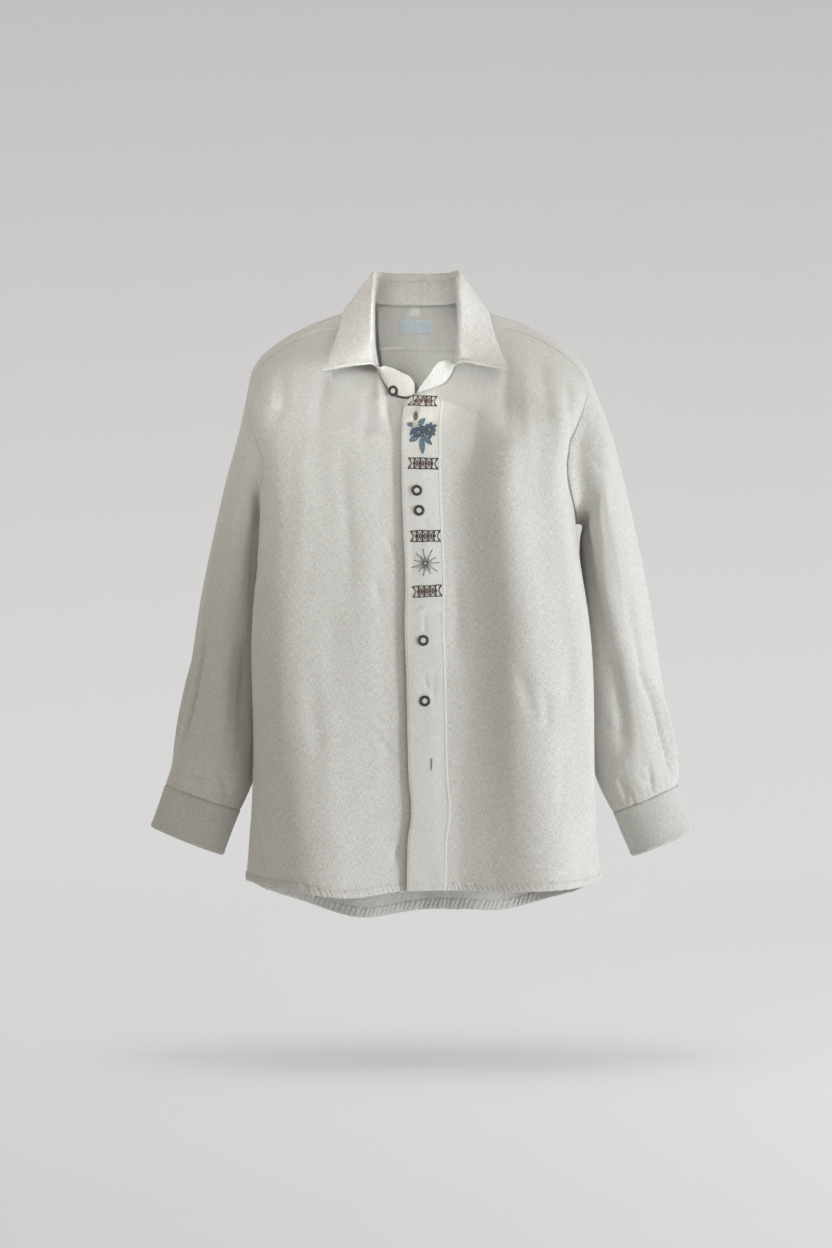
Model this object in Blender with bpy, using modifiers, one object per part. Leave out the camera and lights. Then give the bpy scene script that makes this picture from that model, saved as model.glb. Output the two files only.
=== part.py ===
# Overshirt: a long-sleeved, button-fronted shirt jacket that keeps the hollow form it has when worn.
# Units are metres. +Z is up, the front faces -Y and the wearer's left arm is at +X.
# The origin is the middle of the neck at the height of the back neck seam.

import math
from collections import namedtuple

import bpy
import numpy as np
from mathutils import Matrix, Vector

MM = 0.001

# Driving dimensions
CLOTH = 1.6 * MM  # wall of one cloth panel, seam layers included
SEAM_GAP = 0.3 * MM  # between pieces that a seam joins
BAND_CLOTH = 1.2 * MM  # placket and labels, laid on a panel
UNDERLAP = 5.0 * MM  # the right front lies this far behind the left one
CUFF_GIRTH = 252.0 * MM
CUFF_OVERLAP = 24.0 * MM
BUTTON_RADIUS = 7.0 * MM
BUTTON_HEIGHT = 2.6 * MM
PLACKET_WIDTH = 51.0 * MM
PLACKET_NECK_SHARE = 0.7  # the placket narrows to this share of its width at the neck

# The body is a stack of rings from the hem up to the neck seam. Angle 0 is the centre front, 90 the wearer's
# left side and 180 the centre back. "up" is the distance along the cloth. "square" is the superellipse power,
# "tuck" the share by which the sleeve presses the side in, and the fall columns shape how a ring drops from
# its side to its front and back. All lengths are in millimetres.
Ring = namedtuple(
    "Ring",
    "name up half_width side_z front_depth front_z back_depth back_z centre_x centre_y "
    "square tuck fall_from fall_power",
)
RINGS = (
    Ring("hem", 0, 232, -744, 126, -752, 124, -797, 2, 0, 2.8, 0.01, 90, 2.2),
    Ring("low", 150, 228, -600, 125, -604, 122, -610, 1, 0, 3.0, 0.11, 90, 2.0),
    Ring("waist", 310, 226, -440, 123, -446, 119, -442, 0, 1, 3.1, 0.13, 90, 2.0),
    Ring("armpit", 455, 206, -285, 119, -300, 115, -284, -1, 3, 2.9, 0.08, 90, 2.0),
    Ring("chest", 520, 203, -188, 113, -240, 112, -192, -2, 5, 2.7, 0.02, 92, 2.0),
    Ring("tip", 590, 218, -88, 102, -190, 104, -118, -3, 6, 2.5, 0.00, 95, 2.0),
    Ring("shoulder", 665, 149, -30, 84, -150, 88, -54, -5, 6, 2.4, 0.00, 95, 2.2),
    Ring("neck", 745, 54, 6, 66, -110, 66, 0, -8, 3, 2.8, 0.00, 104, 3.4),
)
TUCK_ANGLE = 98.0
TUCK_SPREAD = 22.0
# The right front hangs a little lower at its neck end, beside the centre front.
NECK_DROP = 11.0 * MM
NECK_DROP_ANGLE = -16.0
NECK_DROP_SPREAD = 26.0
NECK_UP = RINGS[-1].up * MM
ARMPIT_UP = RINGS[3].up * MM
TIP_UP = RINGS[5].up * MM

# Soft folds that run up from the hem: angle at the hem and at the top, half width in degrees, height above
# the cloth at the hem and at the top in millimetres (below it if negative), and how far up the fold reaches.
Fold = namedtuple("Fold", "name hem_angle top_angle spread hem_height top_height reach")
FOLDS = (
    Fold("left_front_ridge", 35, 31, 11, 13, 3, 590),
    Fold("left_front_trough", 15, 18, 9, -7, -2, 560),
    Fold("right_front_ridge", -34, -38, 11, 11, 0, 420),
    Fold("right_front_trough", -12, -10, 10, -5, -2, 600),
    Fold("left_front_side", 58, 58, 8, -5, 0, 380),
    Fold("right_front_side", -56, -56, 8, -5, 0, 380),
    Fold("back_left_ridge", 146, 150, 11, 12, 2, 540),
    Fold("back_left_trough", 163, 166, 9, -8, -2, 560),
    Fold("back_centre_ridge", 184, 182, 9, 6, 1, 600),
    Fold("back_right_trough", 201, 198, 9, -9, -2, 560),
    Fold("back_right_ridge", 218, 212, 11, 12, 2, 540),
    Fold("back_left_side", 122, 124, 9, -5, 0, 400),
    Fold("back_right_side", 238, 236, 9, -5, 0, 400),
)

# Armhole: an oval round each side, drawn in ring angle and distance up. Turn 0 is the armpit, 90 the front
# of the armhole, 180 the shoulder tip and 270 the back.
ARMHOLE_STEP = 15
ARMHOLE_FRONT = 33.0  # degrees of ring angle from the side to the front of the armhole
ARMHOLE_BACK = 29.0
YOKE_FRONT_TURN = 150  # where the front yoke seam meets the armhole
YOKE_BACK_TURN = 210
YOKE_NECK_ANGLE = 85.0  # ring angle of the front yoke seam at the neck
YOKE_CENTRE_UP = 664 * MM  # back yoke seam at the centre back

# The free edge of the left front, height against sideways place, in millimetres.
LEFT_EDGE = (
    (-790, -20), (-755, -20), (-684, -18.5), (-664, -15), (-636, -14.5), (-608, -17.5), (-490, -20),
    (-408, -22.5), (-356, -21.5), (-292, -24), (-237, -26), (-177, -26.5), (-156, -26), (-133, -22.5),
    (-108, -5),
)
RIGHT_EDGE = ((-790, 18), (-150, 16), (-128, 4), (-108, -12))
# Sideways places between which the right front passes behind the left one.
UNDER_FROM, UNDER_TO = -70 * MM, -24 * MM

# Collar stand, round from the centre back (180) to its front ends. "height" is its width of cloth on the left
# and "right_height" on the right. From the neck seam the cloth rolls over at "lean" outwards (inwards if
# negative) and "rise" upwards, square to the seam.
Stand = namedtuple("Stand", "angle height right_height lean rise")
STAND = (
    Stand(180, 31, 31, -2, 40),
    Stand(150, 31, 31, -3, 40),
    Stand(120, 31, 31, -3, 39),
    Stand(104, 30, 30, 0, 39),
    Stand(90, 28, 28, 3, 38),
    Stand(75, 25, 25, 7, 35),
    Stand(62, 23, 23, 14, 28),
    Stand(52, 21, 21, 21, 18),
    Stand(41, 27, 25, 8, 26),
    Stand(30, 31, 31, 1, 32),
    Stand(15, 16, 29, 0, 32),
    Stand(8, 9, 25, 0, 32),
    Stand(2, 3, 15, 0, 32),
)
# Outer edge of the collar leaf, measured from the middle of the neck, as far as its point.
Leaf = namedtuple("Leaf", "angle edge_x edge_y edge_z")
LEAF = (
    Leaf(180, 0, 96, -5),
    Leaf(150, 50, 86, -5),
    Leaf(120, 80, 53, -4),
    Leaf(100, 89, 18, -2),
    Leaf(90, 93, -2, -8),
    Leaf(75, 102, -34, -42),
    Leaf(62, 111, -60, -68),
    Leaf(52, 118, -78, -86),
)
LEAF_END_ANGLE = 52
STAND_END_ANGLE = 2
ROLL_FROM, ROLL_TO = 36, 50  # ring angles between which the free stand turns into the roll
ROLL_ROUNDNESS = 13 * MM
LEAF_COLUMNS = 40
STAND_END_COLUMNS = 10
# Rows of the stand and of the leaf, as shares of their width. They crowd together at the roll.
STAND_ROWS = (0, 0.2, 0.4, 0.6, 0.8, 0.95, 1)
LEAF_ROWS = (0, 0.025, 0.1, 0.19, 0.28, 0.4, 0.54, 0.7, 0.85, 1)

# Sleeve rings after the armhole: the outer and inner points seen from the front, half depth and middle in
# depth, in millimetres. Both sleeves use them, either side of SLEEVE_CENTRE.
SleeveRing = namedtuple("SleeveRing", "outer_x outer_z inner_x inner_z half_depth middle_y")
SLEEVE_RINGS = (
    SleeveRing(241, -165, 208, -287, 74, 9),
    SleeveRing(260, -235, 211, -306, 76, 15),
    SleeveRing(279, -318, 210, -345, 72, 22),
    SleeveRing(294, -398, 210, -412, 67, 25),
    SleeveRing(307, -478, 211, -493, 62, 24),
    SleeveRing(319, -548, 214, -565, 57, 19),
    SleeveRing(328, -594, 224, -616, 50, 12),
)
SLEEVE_CENTRE = 4.0
# Cuffs: outer and inner ends of the seam above and of the lower edge, seen from the front, in millimetres.
Cuff = namedtuple("Cuff", "outer_x outer_z inner_x inner_z low_outer_x low_outer_z low_inner_x low_inner_z")
CUFFS = {
    "left": Cuff(328, -624, 246, -660, 349, -683, 270, -716),
    "right": Cuff(337, -625, 242, -657, 356, -678, 264, -715),
}
CUFF_MIDDLE_Y = 2.0
# A cuff is wound once round, from CUFF_START to its lap, in armhole turns. The lap rises between LAP_FROM and
# LAP_TO.
CUFF_START = 240
LAP_FROM, LAP_TO = 560, 600
CUFF_COLUMNS = 33
CUFF_ROWS = 3

# Buttons on the placket and the one on the right end of the collar stand: sideways place and height, in
# millimetres.
BUTTONS = ((-6.5, -241), (-4, -266.5), (1.5, -431.5), (3.5, -508.5))
STAND_BUTTON = (-36, -112.5)

LABEL_SIZE = (43.5 * MM, 17.5 * MM)
LABEL_CENTRE = (-9 * MM, -27 * MM)
TAB_SIZE = (11.5 * MM, 9.0 * MM)
TAB_CENTRE = (-9 * MM, -7 * MM)

LINEN = (0.62, 0.59, 0.52)
PLACKET_LINEN = (0.68, 0.65, 0.58)
LABEL_BLUE = (0.42, 0.47, 0.48)
TAB_GREY = (0.66, 0.67, 0.64)
BUTTON_BROWN = (0.055, 0.045, 0.04)


def smooth(x, low, high):
    """0 below low, 1 above high, and an even slope between."""
    s = np.clip((x - low) / (high - low), 0.0, 1.0)
    return s * s * (3.0 - 2.0 * s)


def curve_shares(knots, at):
    """How much of each knot's value a smooth curve through the knots takes at the places in at."""
    knots = np.asarray(knots, float)
    at = np.clip(np.asarray(at, float), knots[0], knots[-1])
    last = len(knots) - 1
    slopes = np.zeros((last + 1, last + 1))
    for k in range(last + 1):
        before, after = max(k - 1, 0), min(k + 1, last)
        slopes[k, after] += 1 / (knots[after] - knots[before])
        slopes[k, before] -= 1 / (knots[after] - knots[before])
    i = np.clip(np.searchsorted(knots, at, side="right") - 1, 0, last - 1)
    gap = (knots[i + 1] - knots[i])[:, None]
    s = (at - knots[i])[:, None] / gap
    values = np.eye(last + 1)
    return (
        (1 + 2 * s) * (1 - s) ** 2 * values[i]
        + s * (1 - s) ** 2 * gap * slopes[i]
        + s * s * (3 - 2 * s) * values[i + 1]
        + s * s * (s - 1) * gap * slopes[i + 1]
    )


def through(knots, values, at):
    """A smooth curve through values given at rising knots, read at the places in at."""
    at = np.asarray(at, float)
    values = np.asarray(values, float)
    found = np.tensordot(curve_shares(knots, at.ravel()), values, axes=1)
    return found.reshape(*at.shape, *values.shape[1:])


def unit(vectors):
    return vectors / np.maximum(np.linalg.norm(vectors, axis=-1, keepdims=True), 1e-12)


def ring_points(ring, angle):
    """Points of one body ring at the given angles, in metres."""
    turn = np.radians(angle)
    sine, cosine = np.sin(turn), np.cos(turn)
    reach = (np.abs(sine) ** ring.square + np.abs(cosine) ** ring.square) ** (-1.0 / ring.square)
    away = np.abs((angle + 180) % 360 - 180)
    tuck = 1 - ring.tuck * np.exp(-(((away - TUCK_ANGLE) / TUCK_SPREAD) ** 2))
    depth = np.where(cosine > 0, ring.front_depth, ring.back_depth)
    front_fall, back_fall = (
        np.clip(1 - (off / ring.fall_from) ** ring.fall_power, 0, 1) ** 2 for off in (away, 180 - away)
    )
    x = ring.centre_x + ring.half_width * sine * reach * tuck
    y = ring.centre_y - depth * cosine * reach
    z = ring.side_z + (ring.front_z - ring.side_z) * front_fall + (ring.back_z - ring.side_z) * back_fall
    points = np.stack([x, y, z], axis=-1) * MM
    if ring.name == "neck":
        off = (angle - NECK_DROP_ANGLE + 180) % 360 - 180
        points[..., 2] -= NECK_DROP * np.exp(-((off / NECK_DROP_SPREAD) ** 2))
    return points


def plain_body(angle, up):
    """The body's surface before its folds, at ring angles and distances up from the hem."""
    angle, up = np.broadcast_arrays(np.asarray(angle, float), np.asarray(up, float))
    flat = angle.ravel()
    rings = np.stack([ring_points(ring, flat) for ring in RINGS])
    shares = curve_shares([ring.up * MM for ring in RINGS], up.ravel())
    return np.einsum("nk,knc->nc", shares, rings).reshape(*angle.shape, 3)


def fold_height(angle, up):
    """How far the soft folds lift the cloth."""
    total = np.zeros(np.broadcast(angle, up).shape)
    for fold in FOLDS:
        along = np.clip(up / (fold.reach * MM), 0, 1)
        centre = fold.hem_angle + (fold.top_angle - fold.hem_angle) * along
        off = (angle - centre + 180) % 360 - 180
        height = fold.hem_height + (fold.top_height - fold.hem_height) * along
        fade = 1 - smooth(along, 0.55, 1.0)
        total = total + height * MM * fade * np.exp(-((off / fold.spread) ** 2))
    return total


def body_normal(angle, up):
    """Outward direction of the unfolded body."""
    around = plain_body(angle + 0.5, up) - plain_body(angle - 0.5, up)
    low = np.clip(up - 2 * MM, 0, NECK_UP)
    high = np.clip(up + 2 * MM, 0, NECK_UP)
    rise = plain_body(angle, high) - plain_body(angle, low)
    return unit(np.cross(around, rise))


def body(angle, up, lift=0.0):
    """The body's surface with its folds, moved out by lift."""
    angle, up = np.broadcast_arrays(np.asarray(angle, float), np.asarray(up, float))
    height = fold_height(angle, up) + lift
    return plain_body(angle, up) + body_normal(angle, up) * np.asarray(height)[..., None]


def angle_at(x, up):
    """The ring angle near the centre front whose point lies at sideways place x."""
    up = np.asarray(up, float)
    angle = np.zeros(up.shape)
    for _ in range(6):
        here = plain_body(angle, up)[..., 0]
        slope = (plain_body(angle + 0.5, up)[..., 0] - plain_body(angle - 0.5, up)[..., 0])
        angle = angle + (x - here) / slope
    return angle


def edge_angle(edge, up):
    """Ring angle of a front's free edge at distances up."""
    heights, places = zip(*edge)
    z = plain_body(np.zeros(np.shape(up)), up)[..., 2]
    return angle_at(through(np.array(heights) * MM, np.array(places) * MM, z), up)


def armhole_place(turn):
    """(ring angle from the centre front on the wearer's left, distance up) round the armhole."""
    turn = np.radians(np.asarray(turn, float))
    spread = np.where(np.sin(turn) > 0, ARMHOLE_FRONT, ARMHOLE_BACK)
    middle, half = (ARMPIT_UP + TIP_UP) / 2, (TIP_UP - ARMPIT_UP) / 2
    return 90 - spread * np.sin(turn), middle - half * np.cos(turn)


# Rows of a front panel: below the armpit, up the armhole, then up the yoke seam to the neck.
ROWS_BELOW = 11
ROWS_YOKE = 4
FRONT_COLUMNS = 16
BACK_COLUMNS = 26
YOKE_SIDE_COLUMNS = 4


def front_side_places():
    """(ring angle, distance up) of the outer edge of the left front, one for each row."""
    below = np.linspace(0, ARMPIT_UP, ROWS_BELOW + 1)
    turns = np.arange(ARMHOLE_STEP, YOKE_FRONT_TURN + 1, ARMHOLE_STEP)
    hole_angle, hole_up = armhole_place(turns)
    share = np.linspace(0, 1, ROWS_YOKE + 1)[1:]
    angle = np.concatenate([
        np.full(below.shape, 90.0), hole_angle, hole_angle[-1] + (YOKE_NECK_ANGLE - hole_angle[-1]) * share,
    ])
    up = np.concatenate([below, hole_up, hole_up[-1] + (NECK_UP - hole_up[-1]) * share])
    return angle, up


def front_places(edge, side):
    """Grid of (ring angle, distance up) of one front. side is 1 for the wearer's left, -1 for the right."""
    side_angle, side_up = front_side_places()
    rows = len(side_up)
    above = rows - 1 - ROWS_BELOW
    centre_up = np.concatenate([
        side_up[: ROWS_BELOW + 1], ARMPIT_UP + (NECK_UP - ARMPIT_UP) * np.arange(1, above + 1) / above,
    ])
    start = edge_angle(edge, centre_up)
    share = np.linspace(0, 1, FRONT_COLUMNS + 1)[None, :]
    angle = start[:, None] + (side * side_angle[:, None] - start[:, None]) * share
    up = centre_up[:, None] + (side_up - centre_up)[:, None] * smooth(share, 0.0, 1.0)
    return angle, up


def back_places():
    """Grid of (ring angle, distance up) of the back panel, from the wearer's left side to the right one."""
    below = np.linspace(0, ARMPIT_UP, ROWS_BELOW + 1)
    turns = np.arange(360 - ARMHOLE_STEP, YOKE_BACK_TURN - 1, -ARMHOLE_STEP)
    hole_angle, hole_up = armhole_place(turns)
    side_angle = np.concatenate([np.full(below.shape, 90.0), hole_angle])
    side_up = np.concatenate([below, hole_up])
    centre_up = np.concatenate([
        below, ARMPIT_UP + (YOKE_CENTRE_UP - ARMPIT_UP) * np.arange(1, len(turns) + 1) / len(turns),
    ])
    share = np.linspace(0, 1, BACK_COLUMNS + 1)[None, :]
    angle = side_angle[:, None] + (360 - 2 * side_angle[:, None]) * share
    up = side_up[:, None] + (centre_up - side_up)[:, None] * yoke_rise(share)
    return angle, up


def yoke_rise(share):
    """How the back yoke seam climbs from the armhole (0) to the centre back (0.5) and down again (1)."""
    return 1 - (2 * np.abs(share - 0.5)) ** 2.2


def yoke_places():
    """Grid of (ring angle, distance up) of the yoke, from the left front seam round the back to the right."""
    turns = np.arange(YOKE_FRONT_TURN, YOKE_BACK_TURN + 1, ARMHOLE_STEP)
    side_angle, side_up = armhole_place(turns)
    share = np.linspace(0, 1, BACK_COLUMNS + 1)[1:-1]
    seam_angle = side_angle[-1] + (360 - 2 * side_angle[-1]) * share
    seam_up = side_up[-1] + (YOKE_CENTRE_UP - side_up[-1]) * yoke_rise(share)
    low_angle = np.concatenate([side_angle, seam_angle, 360 - side_angle[::-1]])
    low_up = np.concatenate([side_up, seam_up, side_up[::-1]])
    reach = (low_angle - 180) / (180 - low_angle[0])
    neck_angle = 180 + (180 - YOKE_NECK_ANGLE) * reach
    share = np.linspace(0, 1, ROWS_YOKE + 1)[:, None]
    angle = low_angle[None, :] + (neck_angle - low_angle)[None, :] * share
    up = low_up[None, :] + (NECK_UP - low_up)[None, :] * share
    return angle, up


def pulled_in(points, amount):
    """The grid with its border moved inwards along the cloth, which leaves half a seam gap."""
    moved = points.copy()
    moved[0] += unit(points[1] - points[0]) * amount
    moved[-1] += unit(points[-2] - points[-1]) * amount
    moved[:, 0] += unit(points[:, 1] - points[:, 0]) * amount
    moved[:, -1] += unit(points[:, -2] - points[:, -1]) * amount
    return moved


def under_left_front(points):
    """How far the right front lies behind the left one, at sideways place x."""
    return -UNDERLAP * smooth(points[..., 0], UNDER_FROM, UNDER_TO)


def front_panel(side):
    """Points of a front panel. The right front passes behind the left one at the centre."""
    edge = LEFT_EDGE if side > 0 else RIGHT_EDGE
    angle, up = front_places(edge, side)
    points = body(angle, up)
    if side < 0:
        points = points + body_normal(angle, up) * under_left_front(points)[..., None]
    return pulled_in(points, SEAM_GAP)


def grid_normals(points):
    """Outward directions at the points of a panel's grid, found from its neighbours."""
    along = np.gradient(points, axis=1)
    rise = np.gradient(points, axis=0)
    return unit(np.cross(along, rise))


def along_rows(points, distances):
    """What each row of a grid holds at distances along it from its first column."""
    steps = np.linalg.norm(np.diff(points[..., :3], axis=1), axis=2)
    length = np.concatenate([np.zeros((len(points), 1)), np.cumsum(steps, axis=1)], axis=1)
    found = np.empty((len(points), distances.shape[1], points.shape[2]))
    for row in range(len(points)):
        for axis in range(points.shape[2]):
            found[row, :, axis] = np.interp(distances[row], length[row], points[row, :, axis])
    return found


def placket():
    """The band on the left front, from the neck to the hem, made from that front's points moved out.

    Its first three columns lie within the front's first strip of faces, so the two walls stay parallel there.
    """
    panel = front_panel(1)
    top = np.arange(len(panel))[:, None] / (len(panel) - 1)
    width = PLACKET_WIDTH * (1 - (1 - PLACKET_NECK_SHARE) * smooth(top, 0.93, 1.0))
    first_strip = np.linalg.norm(panel[:, 1:2] - panel[:, :1], axis=2)
    first = np.minimum(first_strip, width * 0.7)
    share = np.linspace(0, 1, 4)[None, :]
    distances = np.concatenate([first * share, first + (width - first) * share[:, 1:]], axis=1)
    found = along_rows(np.concatenate([panel, grid_normals(panel)], axis=2), distances)
    lift = (CLOTH + BAND_CLOTH) / 2 + 2 * SEAM_GAP + SEAM_GAP * smooth(top, 0.85, 0.95)[..., None]
    return found[..., :3] + unit(found[..., 3:]) * lift


def collar_profiles(angles, steps=48):
    """For each ring angle, a fine line of points from the neck seam, over the roll, to the leaf's edge."""
    angles = np.asarray(angles, float)
    away = np.abs((angles + 180) % 360 - 180)
    side = np.where(angles % 360 > 180, -1.0, 1.0)
    stand = sorted(STAND)
    leaf = sorted(LEAF)
    columns = through([row.angle for row in stand], [row[1:] for row in stand], away).T * MM
    left_height, right_height, lean, rise = columns
    height = np.where(side > 0, left_height, right_height)
    edge = through([row.angle for row in leaf], [row[1:] for row in leaf], away) * MM
    edge[:, 0] = RINGS[-1].centre_x * MM + side * edge[:, 0]
    neck_up = np.full(len(angles), NECK_UP)
    base = plain_body(angles, neck_up)
    along = plain_body(angles + 1, neck_up) - plain_body(angles - 1, neck_up)
    out = unit(np.stack([along[:, 1], -along[:, 0], np.zeros(len(angles))], axis=1))
    along = unit(along)
    rolled = smooth(away, ROLL_FROM, ROLL_TO)[:, None]
    across = unit(np.array([0.0, 0.0, 1.0]) - along * along[:, 2:] * rolled)
    base = base + across * (2 * SEAM_GAP + CLOTH)
    roll = base + out * lean[:, None] + across * rise[:, None]
    s = np.linspace(0, 1, steps)[:, None, None]

    def bend(start, start_slope, end, end_slope):
        return (
            (1 + 2 * s) * (1 - s) ** 2 * start + s * (1 - s) ** 2 * start_slope
            + s * s * (3 - 2 * s) * end + s * s * (s - 1) * end_slope
        )

    upward = across * np.linalg.norm(roll - base, axis=1)[:, None] * 0.9
    over = out * ROLL_ROUNDNESS * rolled + upward * (1 - rolled)
    first = bend(base, upward, roll, over)
    second = bend(roll, over, edge, (edge - roll) * 0.9)
    return np.concatenate([first, second[1:]]), height


def along_profile(profiles, distances):
    """Points of each profile at distances from its start. distances has one row for each point wanted."""
    steps = np.linalg.norm(np.diff(profiles, axis=0), axis=2)
    length = np.concatenate([np.zeros((1, steps.shape[1])), np.cumsum(steps, axis=0)])
    found = np.empty((len(distances), profiles.shape[1], 3))
    for column in range(profiles.shape[1]):
        for axis in range(3):
            found[:, column, axis] = np.interp(
                distances[:, column], length[:, column], profiles[:, column, axis]
            )
    return found, length[-1]


def leaf_angles():
    """Ring angles of the leaf's columns, which the stand shares."""
    return np.linspace(LEAF_END_ANGLE, 360 - LEAF_END_ANGLE, LEAF_COLUMNS + 1)


def collar_stand():
    free_end = np.linspace(STAND_END_ANGLE, LEAF_END_ANGLE, STAND_END_COLUMNS + 1)[:-1]
    angles = np.concatenate([free_end, leaf_angles(), 360 - free_end[::-1]])
    profiles, height = collar_profiles(angles)
    share = np.array(STAND_ROWS)[:, None]
    points, _ = along_profile(profiles, share * height[None, :])
    return points


def collar_leaf():
    angles = leaf_angles()
    profiles, height = collar_profiles(angles)
    _, length = along_profile(profiles, np.zeros((1, len(angles))))
    start = height + 2 * SEAM_GAP
    share = np.array(LEAF_ROWS)[:, None]
    points, _ = along_profile(profiles, start[None, :] + (length - start)[None, :] * share)
    return points


def sleeve_sections(side):
    """Rings of one sleeve, the armhole first and the cuff seam last, each point at one armhole turn."""
    turns = np.arange(0, 360, ARMHOLE_STEP)
    angle, up = armhole_place(turns)
    hole = body(side * angle, up)
    rows = [hole]
    cuff = CUFFS["left" if side > 0 else "right"]
    last = SleeveRing(
        cuff.outer_x, cuff.outer_z, cuff.inner_x, cuff.inner_z, cuff_half_depth(cuff) / MM, CUFF_MIDDLE_Y
    )
    for ring in (*SLEEVE_RINGS, last):
        rows.append(sleeve_ring(ring, turns, side))
    return np.stack(rows)


def sleeve_ring(ring, turns, side):
    """An oval through the ring's outer and inner points. Turn 0 is the inner side and 90 the front."""
    turn = np.radians(turns)
    outer = np.array([ring.outer_x, 0, ring.outer_z])
    inner = np.array([ring.inner_x, 0, ring.inner_z])
    middle = (outer + inner) / 2 + np.array([0, ring.middle_y, 0])
    across = (outer - inner) / 2
    depth = np.array([0, -ring.half_depth, 0])
    points = middle - np.cos(turn)[:, None] * across + np.sin(turn)[:, None] * depth
    points[:, 0] = SLEEVE_CENTRE + side * points[:, 0]
    return points * MM


def cuff_half_depth(cuff):
    """Half depth that gives the cuff its girth, by Ramanujan's ellipse formula turned round by halving."""
    half_width = math.hypot(cuff.outer_x - cuff.inner_x, cuff.outer_z - cuff.inner_z) / 2 * MM
    low, high = 0.0, CUFF_GIRTH
    for _ in range(40):
        depth = (low + high) / 2
        h = ((half_width - depth) / (half_width + depth)) ** 2
        girth = math.pi * (half_width + depth) * (1 + 3 * h / (10 + math.sqrt(4 - 3 * h)))
        low, high = (depth, high) if girth < CUFF_GIRTH else (low, depth)
    return depth


SLEEVE_ROWS = (0.0, 0.35, 0.7, 1.0, 1.5, 2.0, 2.5, 3.0, 3.5, 4.0, 4.5, 5.0, 5.5, 6.0, 6.5, 7.0, 7.5, 8.0)
SLEEVE_SEAM_DROP = 1.5 * MM  # the sleeve starts this far past the armhole, so the walls clear each other


def sleeve(side):
    """A sleeve's tube. Under the arm, where it doubles back over the body, it starts on top of the panel."""
    sections = sleeve_sections(side)
    rows = through(np.arange(len(sections)), sections, np.array(SLEEVE_ROWS))
    angle, up = armhole_place(np.arange(0, 360, ARMHOLE_STEP))
    middle_up = (ARMPIT_UP + TIP_UP) / 2
    into_hole = unit(body(side * (angle + (90 - angle) * 0.05), up + (middle_up - up) * 0.05) - rows[0])
    leaving = unit(rows[1] - rows[0])
    straight_on = np.sum(leaving * into_hole, axis=1)
    on_top = (1 - smooth(straight_on, -0.3, 0.6)) * (CLOTH + 2 * SEAM_GAP)
    rows[0] += leaving * SLEEVE_SEAM_DROP + body_normal(side * angle, up) * on_top[:, None]
    rows[-1] += unit(rows[-2] - rows[-1]) * 2 * SEAM_GAP
    return rows


def cuff_band(side):
    """A strip wound once round the wrist, its end lapping over its start at the back."""
    cuff = CUFFS["left" if side > 0 else "right"]
    depth = cuff_half_depth(cuff) / MM
    lap = 360 * CUFF_OVERLAP / CUFF_GIRTH
    turns = np.linspace(CUFF_START, CUFF_START + 360 + lap, CUFF_COLUMNS + 1)
    top = sleeve_ring(
        SleeveRing(cuff.outer_x, cuff.outer_z, cuff.inner_x, cuff.inner_z, depth, CUFF_MIDDLE_Y), turns, side
    )
    low = sleeve_ring(
        SleeveRing(
            cuff.low_outer_x, cuff.low_outer_z, cuff.low_inner_x, cuff.low_inner_z, depth, CUFF_MIDDLE_Y
        ),
        turns, side,
    )
    out = unit(top - top.mean(axis=0))
    lapped = smooth(turns, LAP_FROM, LAP_TO)[:, None] * (CLOTH + 2 * SEAM_GAP)
    share = np.linspace(0, 1, CUFF_ROWS + 1)[:, None, None]
    points = top + (low - top) * share + out * lapped
    points[0] += unit(points[1] - points[0]) * 2 * SEAM_GAP
    return points


def cloth_material(name, colour, roughness=0.9):
    material = bpy.data.materials.new(name)
    material.use_nodes = True
    shader = material.node_tree.nodes["Principled BSDF"]
    shader.inputs["Base Color"].default_value = (*colour, 1)
    shader.inputs["Roughness"].default_value = roughness
    shader.inputs["Metallic"].default_value = 0.0
    return material


def cloth_piece(name, points, thickness, material, collection, ring=False, flip=False):
    """An open sheet through a grid of points, given a thickness. ring joins the last column to the first."""
    rows, columns = points.shape[:2]
    faces = []
    for i in range(rows - 1):
        for j in range(columns if ring else columns - 1):
            k = (j + 1) % columns
            face = (i * columns + j, i * columns + k, (i + 1) * columns + k, (i + 1) * columns + j)
            faces.append(face[::-1] if flip else face)
    mesh = bpy.data.meshes.new(name)
    mesh.from_pydata(points.reshape(-1, 3).tolist(), [], faces)
    mesh.shade_smooth()
    mesh.materials.append(material)
    piece = bpy.data.objects.new(name, mesh)
    collection.objects.link(piece)
    wall = piece.modifiers.new("wall", "SOLIDIFY")
    wall.thickness = thickness
    wall.offset = 0
    wall.use_even_offset = True
    return piece


def patch_inside_yoke(centre, size, columns=4, rows=3):
    """A small label on the inner face of the yoke at the centre back."""
    x = np.linspace(-size[0] / 2, size[0] / 2, columns + 1)[None, :] + centre[0]
    z = np.linspace(-size[1] / 2, size[1] / 2, rows + 1)[:, None] + centre[1]
    ups = np.linspace(YOKE_CENTRE_UP - 30 * MM, NECK_UP, 60)
    line = body(np.full(ups.shape, 180.0), ups)
    up = np.interp(z, line[:, 2], ups)
    up = np.broadcast_to(up, (rows + 1, columns + 1))
    wide = plain_body(np.full(up.shape, 182.0), up)[..., 0] - plain_body(np.full(up.shape, 178.0), up)[..., 0]
    middle = plain_body(np.full(up.shape, 180.0), up)[..., 0]
    angle = 180 + (x - middle) / wide * 4
    lift = -((CLOTH + BAND_CLOTH) / 2 + SEAM_GAP)
    return body(angle, up, lift)


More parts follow.
